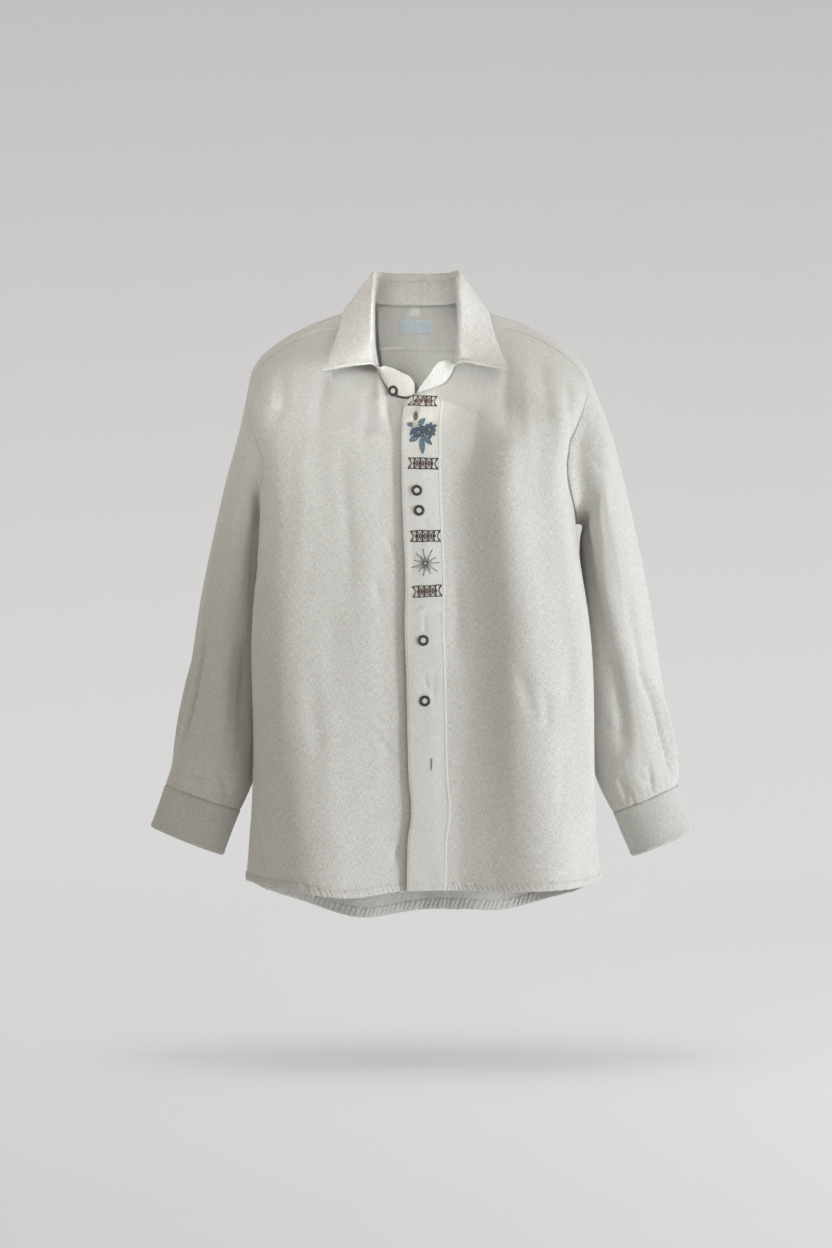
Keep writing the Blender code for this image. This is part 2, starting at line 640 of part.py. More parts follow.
def button(name, place, outward, material, collection):
    """A turned button with a raised rim and a dished centre, its back on the cloth."""
    height, radius = BUTTON_HEIGHT, BUTTON_RADIUS
    profile = (
        (0.0, 0.55), (0.42, 0.55), (0.55, 0.8), (0.78, 1.0), (0.95, 0.8), (1.0, 0.4), (0.85, 0.0), (0.0, 0.0),
    )
    mesh = bpy.data.meshes.new(name)
    mesh.from_pydata(
        [(share * radius, 0, level * height) for share, level in profile],
        [(i, i + 1) for i in range(len(profile) - 1)],
        [],
    )
    mesh.materials.append(material)
    piece = bpy.data.objects.new(name, mesh)
    collection.objects.link(piece)
    turn = piece.modifiers.new("turn", "SCREW")
    turn.steps = turn.render_steps = 16
    turn.use_merge_vertices = True
    turn.merge_threshold = 0.00005
    turn.use_smooth_shade = True
    outward = Vector(outward)
    seat = Vector(place) + outward * SEAM_GAP / 2
    piece.matrix_world = Matrix.Translation(seat) @ outward.to_track_quat("Z", "Y").to_matrix().to_4x4()
    return piece


def seat_on(points, thickness, x, z):
    """Place and outward direction on a panel's face, seen from the front at sideways place x and height z."""
    fine = 8
    rows = np.linspace(0, len(points) - 1, (len(points) - 1) * fine + 1)
    columns = np.linspace(0, points.shape[1] - 1, (points.shape[1] - 1) * fine + 1)
    i = np.minimum(rows.astype(int), len(points) - 2)
    j = np.minimum(columns.astype(int), points.shape[1] - 2)
    u = (rows - i)[:, None, None]
    v = (columns - j)[None, :, None]
    low = points[i][:, j] * (1 - v) + points[i][:, j + 1] * v
    high = points[i + 1][:, j] * (1 - v) + points[i + 1][:, j + 1] * v
    dense = low * (1 - u) + high * u
    normals = grid_normals(dense)
    facing = normals[..., 1] < 0
    away = np.hypot(dense[..., 0] - x, dense[..., 2] - z) + np.where(facing, 0, 1)
    spot = np.unravel_index(np.argmin(away), away.shape)
    return dense[spot] + normals[spot] * (thickness / 2 + SEAM_GAP), normals[spot]


def cuff_button_seat(side):
    """Place and outward direction of the button over the cuff's lap."""
    points = cuff_band(side)
    column = points.shape[1] - 3
    middle = (points[1, column] + points[2, column]) / 2
    across = points[1, column + 1] - points[1, column - 1]
    down = points[2, column] - points[1, column]
    normal = unit(np.cross(across, down))
    centre = points.reshape(-1, 3).mean(axis=0)
    if np.dot(normal, middle - centre) < 0:
        normal = -normal
    return middle + normal * CLOTH / 2, normal


def main():
    for old in list(bpy.data.objects):
        bpy.data.objects.remove(old, do_unlink=True)
    shirt = bpy.data.collections.new("overshirt")
    bpy.context.scene.collection.children.link(shirt)
    linen = cloth_material("linen", LINEN)
    band = cloth_material("placket_linen", PLACKET_LINEN)
    label_blue = cloth_material("label_blue", LABEL_BLUE, 0.7)
    tab_grey = cloth_material("tab_grey", TAB_GREY, 0.7)
    horn = cloth_material("button_brown", BUTTON_BROWN, 0.35)

    cloth_piece("front_left", front_panel(1), CLOTH, linen, shirt)
    cloth_piece("front_right", front_panel(-1), CLOTH, linen, shirt, flip=True)
    cloth_piece("placket", placket(), BAND_CLOTH, band, shirt)
    cloth_piece("back", pulled_in(body(*back_places()), SEAM_GAP), CLOTH, linen, shirt)
    cloth_piece("yoke", pulled_in(body(*yoke_places()), SEAM_GAP), CLOTH, linen, shirt)
    cloth_piece("collar_stand", collar_stand(), CLOTH, linen, shirt)
    cloth_piece("collar_leaf", collar_leaf(), CLOTH, linen, shirt)
    for name, side in (("left", 1), ("right", -1)):
        cloth_piece(f"sleeve_{name}", sleeve(side), CLOTH, linen, shirt, ring=True, flip=side > 0)
        cloth_piece(f"cuff_{name}", cuff_band(side), CLOTH, linen, shirt, flip=side > 0)
        place, outward = cuff_button_seat(side)
        button(f"cuff_button_{name}", place, outward, horn, shirt)
    cloth_piece("neck_label", patch_inside_yoke(LABEL_CENTRE, LABEL_SIZE), BAND_CLOTH, label_blue, shirt)
    cloth_piece("size_tab", patch_inside_yoke(TAB_CENTRE, TAB_SIZE, 2, 2), BAND_CLOTH, tab_grey, shirt)
    place, outward = seat_on(collar_stand(), CLOTH, STAND_BUTTON[0] * MM, STAND_BUTTON[1] * MM)
    button("button_1", place, outward, horn, shirt)
    for number, (x, z) in enumerate(BUTTONS, 2):
        place, outward = seat_on(placket(), BAND_CLOTH, x * MM, z * MM)
        button(f"button_{number}", place, outward, horn, shirt)


main()
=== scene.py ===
# Overshirt dressed for its studio view: linen panels with folds, creases, seams, hems and topstitching,
# ring buttons, embroidered bands and flowers, blank labels, the studio and its light.
# Units are metres. +Z is up, the front faces -Y and the wearer's left arm is at +X.

import math
from collections import namedtuple

import bpy
import numpy as np
from mathutils import Matrix, Vector


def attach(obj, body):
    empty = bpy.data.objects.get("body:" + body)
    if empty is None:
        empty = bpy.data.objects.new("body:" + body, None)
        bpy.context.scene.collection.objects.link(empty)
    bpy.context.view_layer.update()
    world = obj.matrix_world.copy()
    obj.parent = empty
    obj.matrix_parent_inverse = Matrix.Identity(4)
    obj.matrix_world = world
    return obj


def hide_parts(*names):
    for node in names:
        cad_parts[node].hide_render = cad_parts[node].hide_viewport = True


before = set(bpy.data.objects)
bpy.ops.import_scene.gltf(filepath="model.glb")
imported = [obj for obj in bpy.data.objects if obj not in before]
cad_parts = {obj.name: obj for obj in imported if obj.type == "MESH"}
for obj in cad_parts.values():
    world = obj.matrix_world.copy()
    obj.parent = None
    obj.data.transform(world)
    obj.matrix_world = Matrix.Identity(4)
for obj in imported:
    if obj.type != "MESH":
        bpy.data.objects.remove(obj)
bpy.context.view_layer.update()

MM = 0.001

# Cloth
LINEN_THICK = 0.9 * MM
COLLAR_THICK = 1.8 * MM
BAND_THICK = 1.2 * MM
UNDERLAP = 5.0 * MM  # the right front lies this far behind the left one
CUFF_GIRTH = 252.0 * MM
CUFF_OVERLAP = 24.0 * MM
PLACKET_WIDTH = 51.0 * MM
HEM_DEPTH = 11.0 * MM
STAND_HEIGHT = 31 * MM
LEAF_WIDTH = 60 * MM
CUFF_HEIGHT = 58 * MM
LABEL_THICK = 0.5 * MM
DEGREE_MM = 3.9  # millimetres of cloth in one degree round the body
# Rough lengths of cloth across the grids, which place the points that crowd beside the seams.
SHOULDER_LENGTH, FRONT_WIDTH, BACK_WIDTH, YOKE_DEPTH = 0.15, 0.34, 0.62, 0.13

# The body is a stack of rings from the hem up to the neck seam. Angle 0 is the centre front, 90 the wearer's
# left side and 180 the centre back. "up" is the distance along the cloth. Lengths are in millimetres.
Ring = namedtuple(
    "Ring",
    "name up half_width side_z front_depth front_z back_depth back_z centre_x centre_y "
    "square tuck fall_from fall_power",
)
RINGS = (
    Ring("hem", 0, 232, -744, 126, -752, 124, -797, 2, 0, 2.8, 0.01, 90, 2.2),
    Ring("low", 150, 228, -600, 125, -604, 122, -610, 1, 0, 3.0, 0.11, 90, 2.0),
    Ring("waist", 310, 226, -440, 123, -446, 119, -442, 0, 1, 3.1, 0.13, 90, 2.0),
    Ring("armpit", 455, 206, -285, 119, -300, 115, -284, -1, 3, 2.9, 0.08, 90, 2.0),
    Ring("chest", 520, 203, -188, 113, -240, 112, -192, -2, 5, 2.7, 0.02, 92, 2.0),
    Ring("tip", 590, 218, -88, 102, -190, 104, -118, -3, 6, 2.5, 0.00, 95, 2.0),
    Ring("shoulder", 665, 149, -30, 84, -150, 88, -54, -5, 6, 2.4, 0.00, 95, 2.2),
    Ring("neck", 745, 54, 6, 66, -110, 66, 0, -8, 3, 2.8, 0.00, 104, 3.4),
)
TUCK_ANGLE = 98.0
TUCK_SPREAD = 22.0
NECK_DROP = 11.0 * MM
NECK_DROP_ANGLE = -16.0
NECK_DROP_SPREAD = 26.0
# Where the hem hangs lower: ring angle, half width in degrees and drop in millimetres.
HEM_WAVES = ((-23.5, 11, 9), (22, 9, 2.5), (201, 15, 15), (154, 10, 8))
HEM_WAVE_REACH = 170 * MM
NECK_UP = RINGS[-1].up * MM
ARMPIT_UP = RINGS[3].up * MM
TIP_UP = RINGS[5].up * MM

# Soft folds that run up from the hem: angle at the hem and at the top, half width in degrees, height at the
# hem and at the top in millimetres, and how far up the fold reaches.
FOLD_FADE = 0.7
Fold = namedtuple("Fold", "name hem_angle top_angle spread hem_height top_height reach")
FOLDS = (
    Fold("left_front_ridge", 39, 31, 12, 22, 8, 680),
    Fold("left_chest_ridge", 30, 27, 7, 0, 15, 720),
    Fold("left_front_trough", 12, 15, 12, -17, -14, 720),
    Fold("right_front_ridge", -32, -62, 14, 20, 29, 720),
    Fold("right_front_trough", -8, -10, 14, -12, -7, 720),
    Fold("left_front_side", 57, 47, 8, 9, 14, 720),
    Fold("right_front_side", -60, -66, 8, -4, 0, 380),
    Fold("back_left_ridge", 146, 150, 11, 12, 2, 540),
    Fold("back_left_trough", 163, 166, 9, -8, -2, 560),
    Fold("back_centre_ridge", 184, 182, 9, 6, 1, 600),
    Fold("back_right_trough", 201, 198, 9, -9, -2, 560),
    Fold("back_right_ridge", 218, 212, 11, 12, 2, 540),
    Fold("back_left_side", 122, 124, 9, -5, 0, 400),
    Fold("back_right_side", 238, 236, 9, -5, 0, 400),
)

# Creases of the body, each along two to four points (x, z) seen from the front or from the back, in
# millimetres, with its half width and its height above the cloth (below it if negative).
Crease = namedtuple("Crease", "face points width height")


def seen_from(face, *rows):
    """Creases on one face. Each row holds the points, the half width and the height."""
    return tuple(Crease(face, row[:-2], *row[-2:]) for row in rows)


BODY_CREASES = seen_from(
    "front",
    ((-57, -92), (-55, -118), (-52, -146), 5, 3.2),
    ((-47, -104), (-42, -130), (-38, -170), 6, -3.0),
    ((-68, -104), (-70, -140), (-74, -190), 9, -1.8),
    ((-203, -325), (-195, -383), (-179, -442), 4.5, -1.8),
    ((-186, -180), (-181, -250), (-175, -331), 8, -1.4),
    ((-150, -150), (-146, -240), (-150, -330), 10, 1.3),
    ((-104, -170), (-96, -290), (-92, -410), 9, -1.5),
    ((-62, -352), (-57, -372), (-50, -392), 3.5, -1.9),
    ((-49, -296), (-41, -309), (-33, -322), 3, -1.6),
    ((-64, -519), (-58, -531), (-53, -540), 2.5, -1.0),
    ((-69, -546), (-52, -563), (-33, -588), 2.6, -1.5),
    ((-62, -548), (-48, -551), (-30, -549), 2.2, -0.8),
    ((-29, -690), (-34, -704), (-38, -722), 4, -1.8),
    ((-190, -728), (-156, -736), (-116, -742), 3, -1.3),
    ((-180, -716), (-148, -724), (-130, -729), 3, 1.0),
    ((-214, -650), (-206, -700), (-196, -733), 5, -1.6),
    ((-140, -460), (-134, -540), (-130, -600), 9, -1.2),
    ((82, -217), (93, -221), (104, -227), 2.2, -1.1),
    ((128, -684), (152, -697), (180, -713), 3.2, -1.5),
    ((140, -712), (172, -724), (212, -736), 3, -1.3),
    ((150, -698), (180, -716), (206, -726), 2.6, 0.9),
    ((194, -700), (210, -714), (225, -730), 4, -1.5),
    ((117, -462), (130, -498), (141, -534), 8, -2.2),
    ((149, -493), (153, -515), (155, -548), 5, -1.7),
    ((184, -440), (182, -470), (178, -520), 7, -1.4),
    ((108, -62), (107, -110), (104, -176), 8, -1.8),
    ((153, -66), (158, -120), (163, -190), 8, -1.6),
    ((132, -76), (134, -130), (136, -230), 9, 1.4),
    ((74, -120), (66, -190), (60, -290), 8, -1.5),
    ((188, -96), (187, -150), (192, -240), 6, -1.9),
    ((44, -330), (46, -400), (42, -470), 9, -1.2),
    ((168, -560), (172, -610), (168, -660), 8, -1.2),
    ((-120, -60), (-128, -110), (-134, -170), 8, -1.6),
    ((-176, -86), (-178, -130), (-186, -190), 8, -1.8),
) + seen_from(
    "back",
    ((-60, -64), (-62, -130), (-70, -240), 9, -2.2),
    ((-32, -62), (-33, -120), (-38, -200), 8, 1.8),
    ((28, -62), (30, -128), (38, -230), 9, -2.2),
    ((62, -64), (66, -120), (72, -180), 8, 1.6),
    ((110, -84), (122, -150), (128, -220), 8, -1.9),
    ((-120, -84), (-130, -160), (-136, -240), 8, -1.9),
    ((-176, -120), (-166, -190), (-168, -290), 8, -2.0),
    ((170, -130), (162, -200), (166, -290), 8, -2.0),
    ((-190, -300), (-150, -350), (-96, -392), 8, -2.0),
    ((188, -306), (156, -342), (112, -370), 7, -1.7),
    ((-104, -430), (-60, -446), (-22, -440), 6, -1.3),
    ((96, -470), (62, -492), (30, -500), 6, -1.2),
    ((-150, -520), (-146, -590), (-138, -660), 9, -1.5),
    ((140, -540), (148, -610), (144, -680), 9, -1.5),
    ((20, -560), (16, -630), (22, -700), 9, -1.4),
    ((-212, -640), (-196, -700), (-180, -730), 5, -1.5),
    ((206, -660), (190, -712), (170, -744), 5, -1.5),
    ((-96, -700), (-76, -740), (-60, -768), 5, -1.2),
    ((88, -716), (72, -744), (52, -772), 5, -1.2),
)

# Armhole: an oval round each side, drawn in ring angle and distance up. Turn 0 is the armpit, 90 the front
# of the armhole, 180 the shoulder tip and 270 the back.
ARMHOLE_FRONT = 33.0
ARMHOLE_BACK = 29.0
YOKE_FRONT_TURN = 150
YOKE_BACK_TURN = 210
YOKE_NECK_ANGLE = 85.0
YOKE_CENTRE_UP = 664 * MM
TURN_STEP = 2.5

# The free edge of each front, height against sideways place, in millimetres.
LEFT_EDGE = (
    (-790, -20), (-755, -20), (-684, -18.5), (-664, -15), (-636, -14.5), (-608, -17.5), (-490, -20),
    (-408, -22.5), (-356, -21.5), (-292, -24), (-237, -26), (-177, -26.5), (-156, -26), (-133, -22.5),
    (-108, -5),
)
RIGHT_EDGE = ((-790, 18), (-150, 16), (-128, 4), (-108, -12))

# Collar stand: width of cloth on the left and on the right, then how far it leans out and rises to the roll.
Stand = namedtuple("Stand", "angle height right_height lean rise")
STAND = (
    Stand(180, 31, 31, -2, 40),
    Stand(150, 31, 31, -3, 40),
    Stand(120, 31, 31, -3, 39),
    Stand(104, 30, 30, 0, 39),
    Stand(90, 28, 28, 3, 38),
    Stand(75, 25, 25, 7, 35),
    Stand(62, 23, 23, 14, 28),
    Stand(52, 21, 21, 21, 18),
    Stand(41, 27, 25, 8, 26),
    Stand(30, 31, 31, 1, 32),
    Stand(15, 16, 29, 0, 32),
    Stand(8, 9, 25, 0, 32),
    Stand(2, 3, 15, 0, 32),
)
# Outer edge of the collar leaf, measured from the middle of the neck, as far as its point.
Leaf = namedtuple("Leaf", "angle edge_x edge_y edge_z")
LEAF = (
    Leaf(180, 0, 96, -5),
    Leaf(150, 50, 86, -5),
    Leaf(120, 80, 53, -4),
    Leaf(100, 89, 18, -2),
    Leaf(90, 93, -2, -8),
    Leaf(75, 102, -34, -42),
    Leaf(62, 111, -60, -68),
    Leaf(52, 118, -78, -86),
)
LEAF_END_ANGLE = 52
STAND_END_ANGLE = 2
ROLL_FROM, ROLL_TO = 36, 50
ROLL_ROUNDNESS = 13 * MM

# Sleeve rings after the armhole: the outer and inner points seen from the front, half depth and middle in
# depth, in millimetres, either side of SLEEVE_CENTRE.
SleeveRing = namedtuple("SleeveRing", "outer_x outer_z inner_x inner_z half_depth middle_y")
SLEEVE_RINGS = (
    SleeveRing(241, -165, 204, -287, 74, 9),
    SleeveRing(260, -235, 202, -306, 76, 15),
    SleeveRing(279, -318, 202, -345, 72, 22),
    SleeveRing(294, -398, 205, -412, 67, 25),
    SleeveRing(307, -478, 211, -493, 62, 24),
    SleeveRing(319, -548, 214, -565, 57, 19),
    SleeveRing(328, -594, 224, -616, 50, 12),
)
SLEEVE_CENTRE = 4.0
Cuff = namedtuple("Cuff", "outer_x outer_z inner_x inner_z low_outer_x low_outer_z low_inner_x low_inner_z")
CUFFS = {
    1: Cuff(328, -624, 246, -660, 349, -683, 270, -716),
    -1: Cuff(337, -625, 242, -657, 356, -678, 264, -715),
}
CUFF_MIDDLE_Y = 2.0

# Creases of the sleeves, as seen from the front or the back.
LEFT_SLEEVE_CREASES = seen_from(
    "front",
    ((199, -140), (205, -250), (220, -360), (240, -440), 13, -4.5),
    ((240, -440), (254, -520), (262, -590), 14, -6.0),
    ((226, -300), (246, -400), (270, -490), 13, 3.2),
    ((262, -360), (276, -440), (290, -500), 6, -1.6),
    ((277, -470), (301, -520), (314, -570), (326, -622), 4.5, -5.5),
    ((288, -470), (311, -520), (323, -570), (333, -618), 5.5, 4.5),
    ((213, -196), (232, -214), (246, -222), 6, -1.4),
    ((277, -606), (290, -616), (306, -622), 3, -1.5),
    ((254, -612), (262, -632), (266, -646), 4, -2.0),
    ((292, -594), (296, -612), (298, -630), 4, -1.8),
    ((216, -520), (240, -548), (262, -560), 6, -1.3),
) + seen_from(
    "back",
    ((214, -200), (232, -300), (250, -390), 11, -3.4),
    ((240, -250), (258, -340), (274, -430), 10, 2.6),
    ((248, -420), (262, -500), (280, -580), 11, -4.2),
    ((286, -480), (300, -560), (310, -620), 5, -4.2),
    ((222, -440), (246, -470), (270, -480), 6, -1.8),
    ((262, -590), (270, -612), (276, -640), 4, -2.2),
    ((220, -330), (236, -346), (256, -350), 6, -1.6),
)
RIGHT_SLEEVE_CREASES = seen_from(
    "front",
    ((-206, -124), (-206, -230), (-216, -330), (-226, -420), 12, -3.6),
    ((-226, -420), (-232, -500), (-234, -590), 13, -4.5),
    ((-228, -160), (-236, -260), (-250, -340), 11, 2.4),
    ((-250, -420), (-256, -500), (-262, -590), 12, 2.6),
    ((-278, -415), (-296, -510), (-316, -588), 4.5, -4.5),
    ((-292, -440), (-309, -520), (-326, -600), 6, 3.8),
    ((-258, -388), (-242, -391), (-226, -393), 2.4, -0.9),
    ((-300, -500), (-290, -508), (-276, -512), 3, -1.0),
    ((-306, -596), (-292, -610), (-268, -614), 4, -1.7),
    ((-262, -600), (-256, -620), (-252, -646), 4.5, -2.2),
    ((-290, -600), (-284, -618), (-282, -636), 4, -1.8),
    ((-214, -186), (-230, -204), (-248, -210), 6, -1.3),
) + seen_from(
    "back",
    ((-212, -190), (-228, -290), (-246, -380), 11, -3.6),
    ((-240, -260), (-254, -330), (-270, -420), 10, 2.6),
    ((-246, -410), (-262, -500), (-276, -590), 11, -4.0),
    ((-288, -490), (-302, -560), (-314, -612), 5, -4.0),
    ((-220, -450), (-242, -462), (-268, -486), 6, -1.7),
    ((-264, -596), (-272, -616), (-274, -640), 4, -2.0),
)
# Creases pressed across the placket.
PLACKET_CREASES = seen_from(
    "front",
    ((-24, -292), (-10, -291), (6, -290), 1.6, -0.7),
    ((-22, -396), (0, -394), (26, -392), 3.2, 1.1),
    ((-22, -404), (0, -402), (26, -400), 2.6, -0.9),
    ((-20, -545), (2, -548), (22, -548), 2.6, -1.1),
    ((-20, -553), (2, -556), (22, -557), 3.0, 1.1),
    ((2, -402), (3, -414), (3, -424), 2.2, -0.9),
    ((2, -474), (6, -488), (10, -498), 3.0, -1.2),
    ((14, -476), (15, -490), (14, -520), 3.5, -0.8),
    ((-4, -276), (4, -282), (12, -296), 3.5, -0.9),
    ((-14, -300), (-12, -330), (-14, -352), 4, -0.7),
    ((16, -118), (14, -150), (16, -196), 5, -0.8),
)

BUTTONS = ((-6.5, -241), (-4, -266.5), (1.5, -431.5), (3.5, -508.5))
STAND_BUTTON = (-36, -112.5)
BUTTON_RADIUS = 7.0 * MM
BUTTON_HEIGHT = 2.6 * MM
LABEL_SIZE = (43.5 * MM, 17.5 * MM)
LABEL_CENTRE = (-9 * MM, -27 * MM)
TAB_SIZE = (11.5 * MM, 9.0 * MM)
TAB_CENTRE = (-9 * MM, -7 * MM)


def smooth(x, low, high):
    """0 below low, 1 above high, and an even slope between."""
    s = np.clip((x - low) / (high - low), 0.0, 1.0)
    return s * s * (3.0 - 2.0 * s)


def bell(x, width):
    """1 at zero, falling away smoothly over width either side."""
    return np.exp(-((x / width) ** 2))


def turned(angle, centre):
    """How far angle lies from centre, between -180 and 180 degrees."""
    return (angle - centre + 180) % 360 - 180


def paired(first, second):
    """Two arrays side by side, as the cloth coordinates of a grid."""
    return np.stack(np.broadcast_arrays(first, second), axis=-1)


def curve_shares(knots, at):
    """How much of each knot's value a smooth curve through the knots takes at the places in at."""
    knots = np.asarray(knots, float)
    at = np.clip(np.asarray(at, float), knots[0], knots[-1])
    last = len(knots) - 1
    slopes = np.zeros((last + 1, last + 1))
    for k in range(last + 1):
        before, after = max(k - 1, 0), min(k + 1, last)
        slopes[k, after] += 1 / (knots[after] - knots[before])
        slopes[k, before] -= 1 / (knots[after] - knots[before])
    i = np.clip(np.searchsorted(knots, at, side="right") - 1, 0, last - 1)
    gap = (knots[i + 1] - knots[i])[:, None]
    s = (at - knots[i])[:, None] / gap
    values = np.eye(last + 1)
    return (
        (1 + 2 * s) * (1 - s) ** 2 * values[i]
        + s * (1 - s) ** 2 * gap * slopes[i]
        + s * s * (3 - 2 * s) * values[i + 1]
        + s * s * (s - 1) * gap * slopes[i + 1]
    )


def through(knots, values, at):
    """A smooth curve through values given at rising knots, read at the places in at."""
    at = np.asarray(at, float)
    values = np.asarray(values, float)
    found = np.tensordot(curve_shares(knots, at.ravel()), values, axes=1)
    return found.reshape(*at.shape, *values.shape[1:])


def unit(vectors):
    return vectors / np.maximum(np.linalg.norm(vectors, axis=-1, keepdims=True), 1e-12)


def uneven(u, v, size_u, size_v, seed):
    """Smooth random heights between -1 and 1, uneven over size_u by size_v. u and v may be any arrays."""
    grid = np.random.default_rng(seed).random((64, 64)) * 2 - 1
    u, v = np.broadcast_arrays(np.asarray(u, float) / size_u, np.asarray(v, float) / size_v)
    i, j = np.floor(u).astype(int), np.floor(v).astype(int)
    s, t = smooth(u - i, 0, 1), smooth(v - j, 0, 1)
    low = grid[i % 64, j % 64] * (1 - s) + grid[(i + 1) % 64, j % 64] * s
    high = grid[i % 64, (j + 1) % 64] * (1 - s) + grid[(i + 1) % 64, (j + 1) % 64] * s
    return low * (1 - t) + high * t


def uneven_line(s, size, seed):
    """Smooth random heights along a line, uneven over size."""
    return uneven(s, 0 * s, size, 1.0, seed)


def ring_points(ring, angle):
    """Points of one body ring at the given angles, in metres."""
    turn = np.radians(angle)
    sine, cosine = np.sin(turn), np.cos(turn)
    reach = (np.abs(sine) ** ring.square + np.abs(cosine) ** ring.square) ** (-1.0 / ring.square)
    away = np.abs(turned(angle, 0))
    tuck = 1 - ring.tuck * bell(away - TUCK_ANGLE, TUCK_SPREAD)
    depth = np.where(cosine > 0, ring.front_depth, ring.back_depth)
    front_fall, back_fall = (
        np.clip(1 - (off / ring.fall_from) ** ring.fall_power, 0, 1) ** 2 for off in (away, 180 - away)
    )
    x = ring.centre_x + ring.half_width * sine * reach * tuck
    y = ring.centre_y - depth * cosine * reach
    z = ring.side_z + (ring.front_z - ring.side_z) * front_fall + (ring.back_z - ring.side_z) * back_fall
    points = np.stack([x, y, z], axis=-1) * MM
    if ring.name == "neck":
        off = turned(angle, NECK_DROP_ANGLE)
        points[..., 2] -= NECK_DROP * bell(off, NECK_DROP_SPREAD)
    return points


def plain_body(angle, up):
    """The body's surface before its folds, at ring angles and distances up from the hem."""
    angle, up = np.broadcast_arrays(np.asarray(angle, float), np.asarray(up, float))
    flat = angle.ravel()
    rings = np.stack([ring_points(ring, flat) for ring in RINGS])
    shares = curve_shares([ring.up * MM for ring in RINGS], up.ravel())
    return np.einsum("nk,knc->nc", shares, rings).reshape(*angle.shape, 3)


def fold_height(angle, up):
    """How far the soft folds lift the cloth."""
    total = np.zeros(np.broadcast(angle, up).shape)
    for fold in FOLDS:
        along = np.clip(up / (fold.reach * MM), 0, 1)
        centre = fold.hem_angle + (fold.top_angle - fold.hem_angle) * along
        off = turned(angle, centre)
        height = fold.hem_height + (fold.top_height - fold.hem_height) * along
        fade = 1 - smooth(along, FOLD_FADE, 1.0)
        total = total + height * MM * fade * bell(off, fold.spread)
    return total


def crease_lines(creases, points, normals):
    """Each crease as a line of points on a surface, found from where it is seen."""
    flat, facing = points.reshape(-1, 3), normals.reshape(-1, 3)[:, 1]
    lines = []
    for crease in creases:
        seen = np.where(facing < 0 if crease.face == "front" else facing > 0, 0.0, 9.0)
        knots = np.arange(len(crease.points))
        places = through(knots, crease.points, np.linspace(0, knots[-1], 13)) * MM
        spots = [np.argmin(np.hypot(flat[:, 0] - x, flat[:, 2] - z) + seen) for x, z in places]
        lines.append(flat[spots])
    return lines


CREASE_SHARPNESS = 1.5  # how much the creases stand out


def crease_height(points, creases, lines):
    """How far the creases lift each point, by its distance from their lines."""
    total = np.zeros(points.shape[:-1])
    for crease, line in zip(creases, lines):
        step = line[1:] - line[:-1]
        long = np.maximum(np.sum(step * step, axis=1), 1e-12)
        reach = crease.width * MM * 2.6
        near = np.all((points > line.min(axis=0) - reach) & (points < line.max(axis=0) + reach), axis=-1)
        if not near.any():
            continue
        from_start = points[near][:, None, :] - line[None, :-1, :]
        share = np.clip(np.sum(from_start * step, axis=2) / long, 0, 1)
        off = np.linalg.norm(from_start - share[..., None] * step, axis=2)
        closest = np.argmin(off, axis=1)
        rows = np.arange(len(closest))
        along = (closest + share[rows, closest]) / len(step)
        taper = np.sin(np.pi * np.clip(along, 0, 1)) ** 0.8
        across = bell(off[rows, closest], crease.width * MM)
        total[near] += CREASE_SHARPNESS * crease.height * MM * taper * across
    return total


def body_normal(angle, up):
    """Outward direction of the unfolded body."""
    around = plain_body(angle + 0.5, up) - plain_body(angle - 0.5, up)
    low = np.clip(up - 2 * MM, 0, NECK_UP)
    high = np.clip(up + 2 * MM, 0, NECK_UP)
    rise = plain_body(angle, high) - plain_body(angle, low)
    return unit(np.cross(around, rise))


def body_crease_lines():
    angle = np.arange(0, 360, 1.0)[None, :]
    up = np.arange(0, NECK_UP, 5 * MM)[:, None]
    angle, up = np.broadcast_arrays(angle, up)
    return crease_lines(BODY_CREASES, plain_body(angle, up), body_normal(angle, up))


BODY_LINES = body_crease_lines()


def drape(angle, up):
    """Small unevenness of the hanging cloth: long soft streaks and shorter dents."""
    turn = (np.asarray(angle, float) % 360)
    wide = turn * 64 / 360
    low = 1 - 0.5 * smooth(up, 0.55, 0.745)
    return MM * low * (
        0.75 * uneven(wide, up, 1.0, 0.17, 3)
        + 0.35 * uneven(wide * 2, up, 1.0, 0.060, 5)
        + 0.14 * uneven(wide * 4, up, 1.0, 0.022, 7)
    )


def hem_drop(angle, up):
    """How much lower the cloth hangs where the hem waves."""
    total = np.zeros(np.broadcast(angle, up).shape)
    for centre, spread, drop in HEM_WAVES:
        off = turned(angle, centre)
        total = total + drop * MM * bell(off, spread)
    return total * (1 - smooth(up, 0, HEM_WAVE_REACH))


def hem_pucker(angle, up):
    """Short slanting puckers that the hem's stitches draw in."""
    s = (np.asarray(angle, float) % 360) * DEGREE_MM * MM
    bend = uneven_line(s, 23 * MM, 11) * 3 * MM
    wave = np.sin(2 * np.pi * (s + 0.6 * up + bend) / (14 * MM))
    strong = 0.55 + 0.45 * uneven_line(s, 31 * MM, 13)
    return 0.5 * MM * wave * strong * bell(up - 13 * MM, 9 * MM)


def body(angle, up, lift=0.0):
    """The body's surface with its folds and creases, moved out by lift."""
    angle, up = np.broadcast_arrays(np.asarray(angle, float), np.asarray(up, float))
    base = plain_body(angle, up)
    height = fold_height(angle, up) + crease_height(base, BODY_CREASES, BODY_LINES)
    height = height + drape(angle, up) + hem_pucker(angle, up) + lift
    points = base + body_normal(angle, up) * np.asarray(height)[..., None]
    points[..., 2] -= hem_drop(angle, up)
    return points


def angle_at(x, up):
    """The ring angle near the centre front whose point lies at sideways place x."""
    up = np.asarray(up, float)
    angle = np.zeros(up.shape)
    for _ in range(6):
        here = plain_body(angle, up)[..., 0]
        slope = plain_body(angle + 0.5, up)[..., 0] - plain_body(angle - 0.5, up)[..., 0]
        angle = angle + (x - here) / slope
    return angle


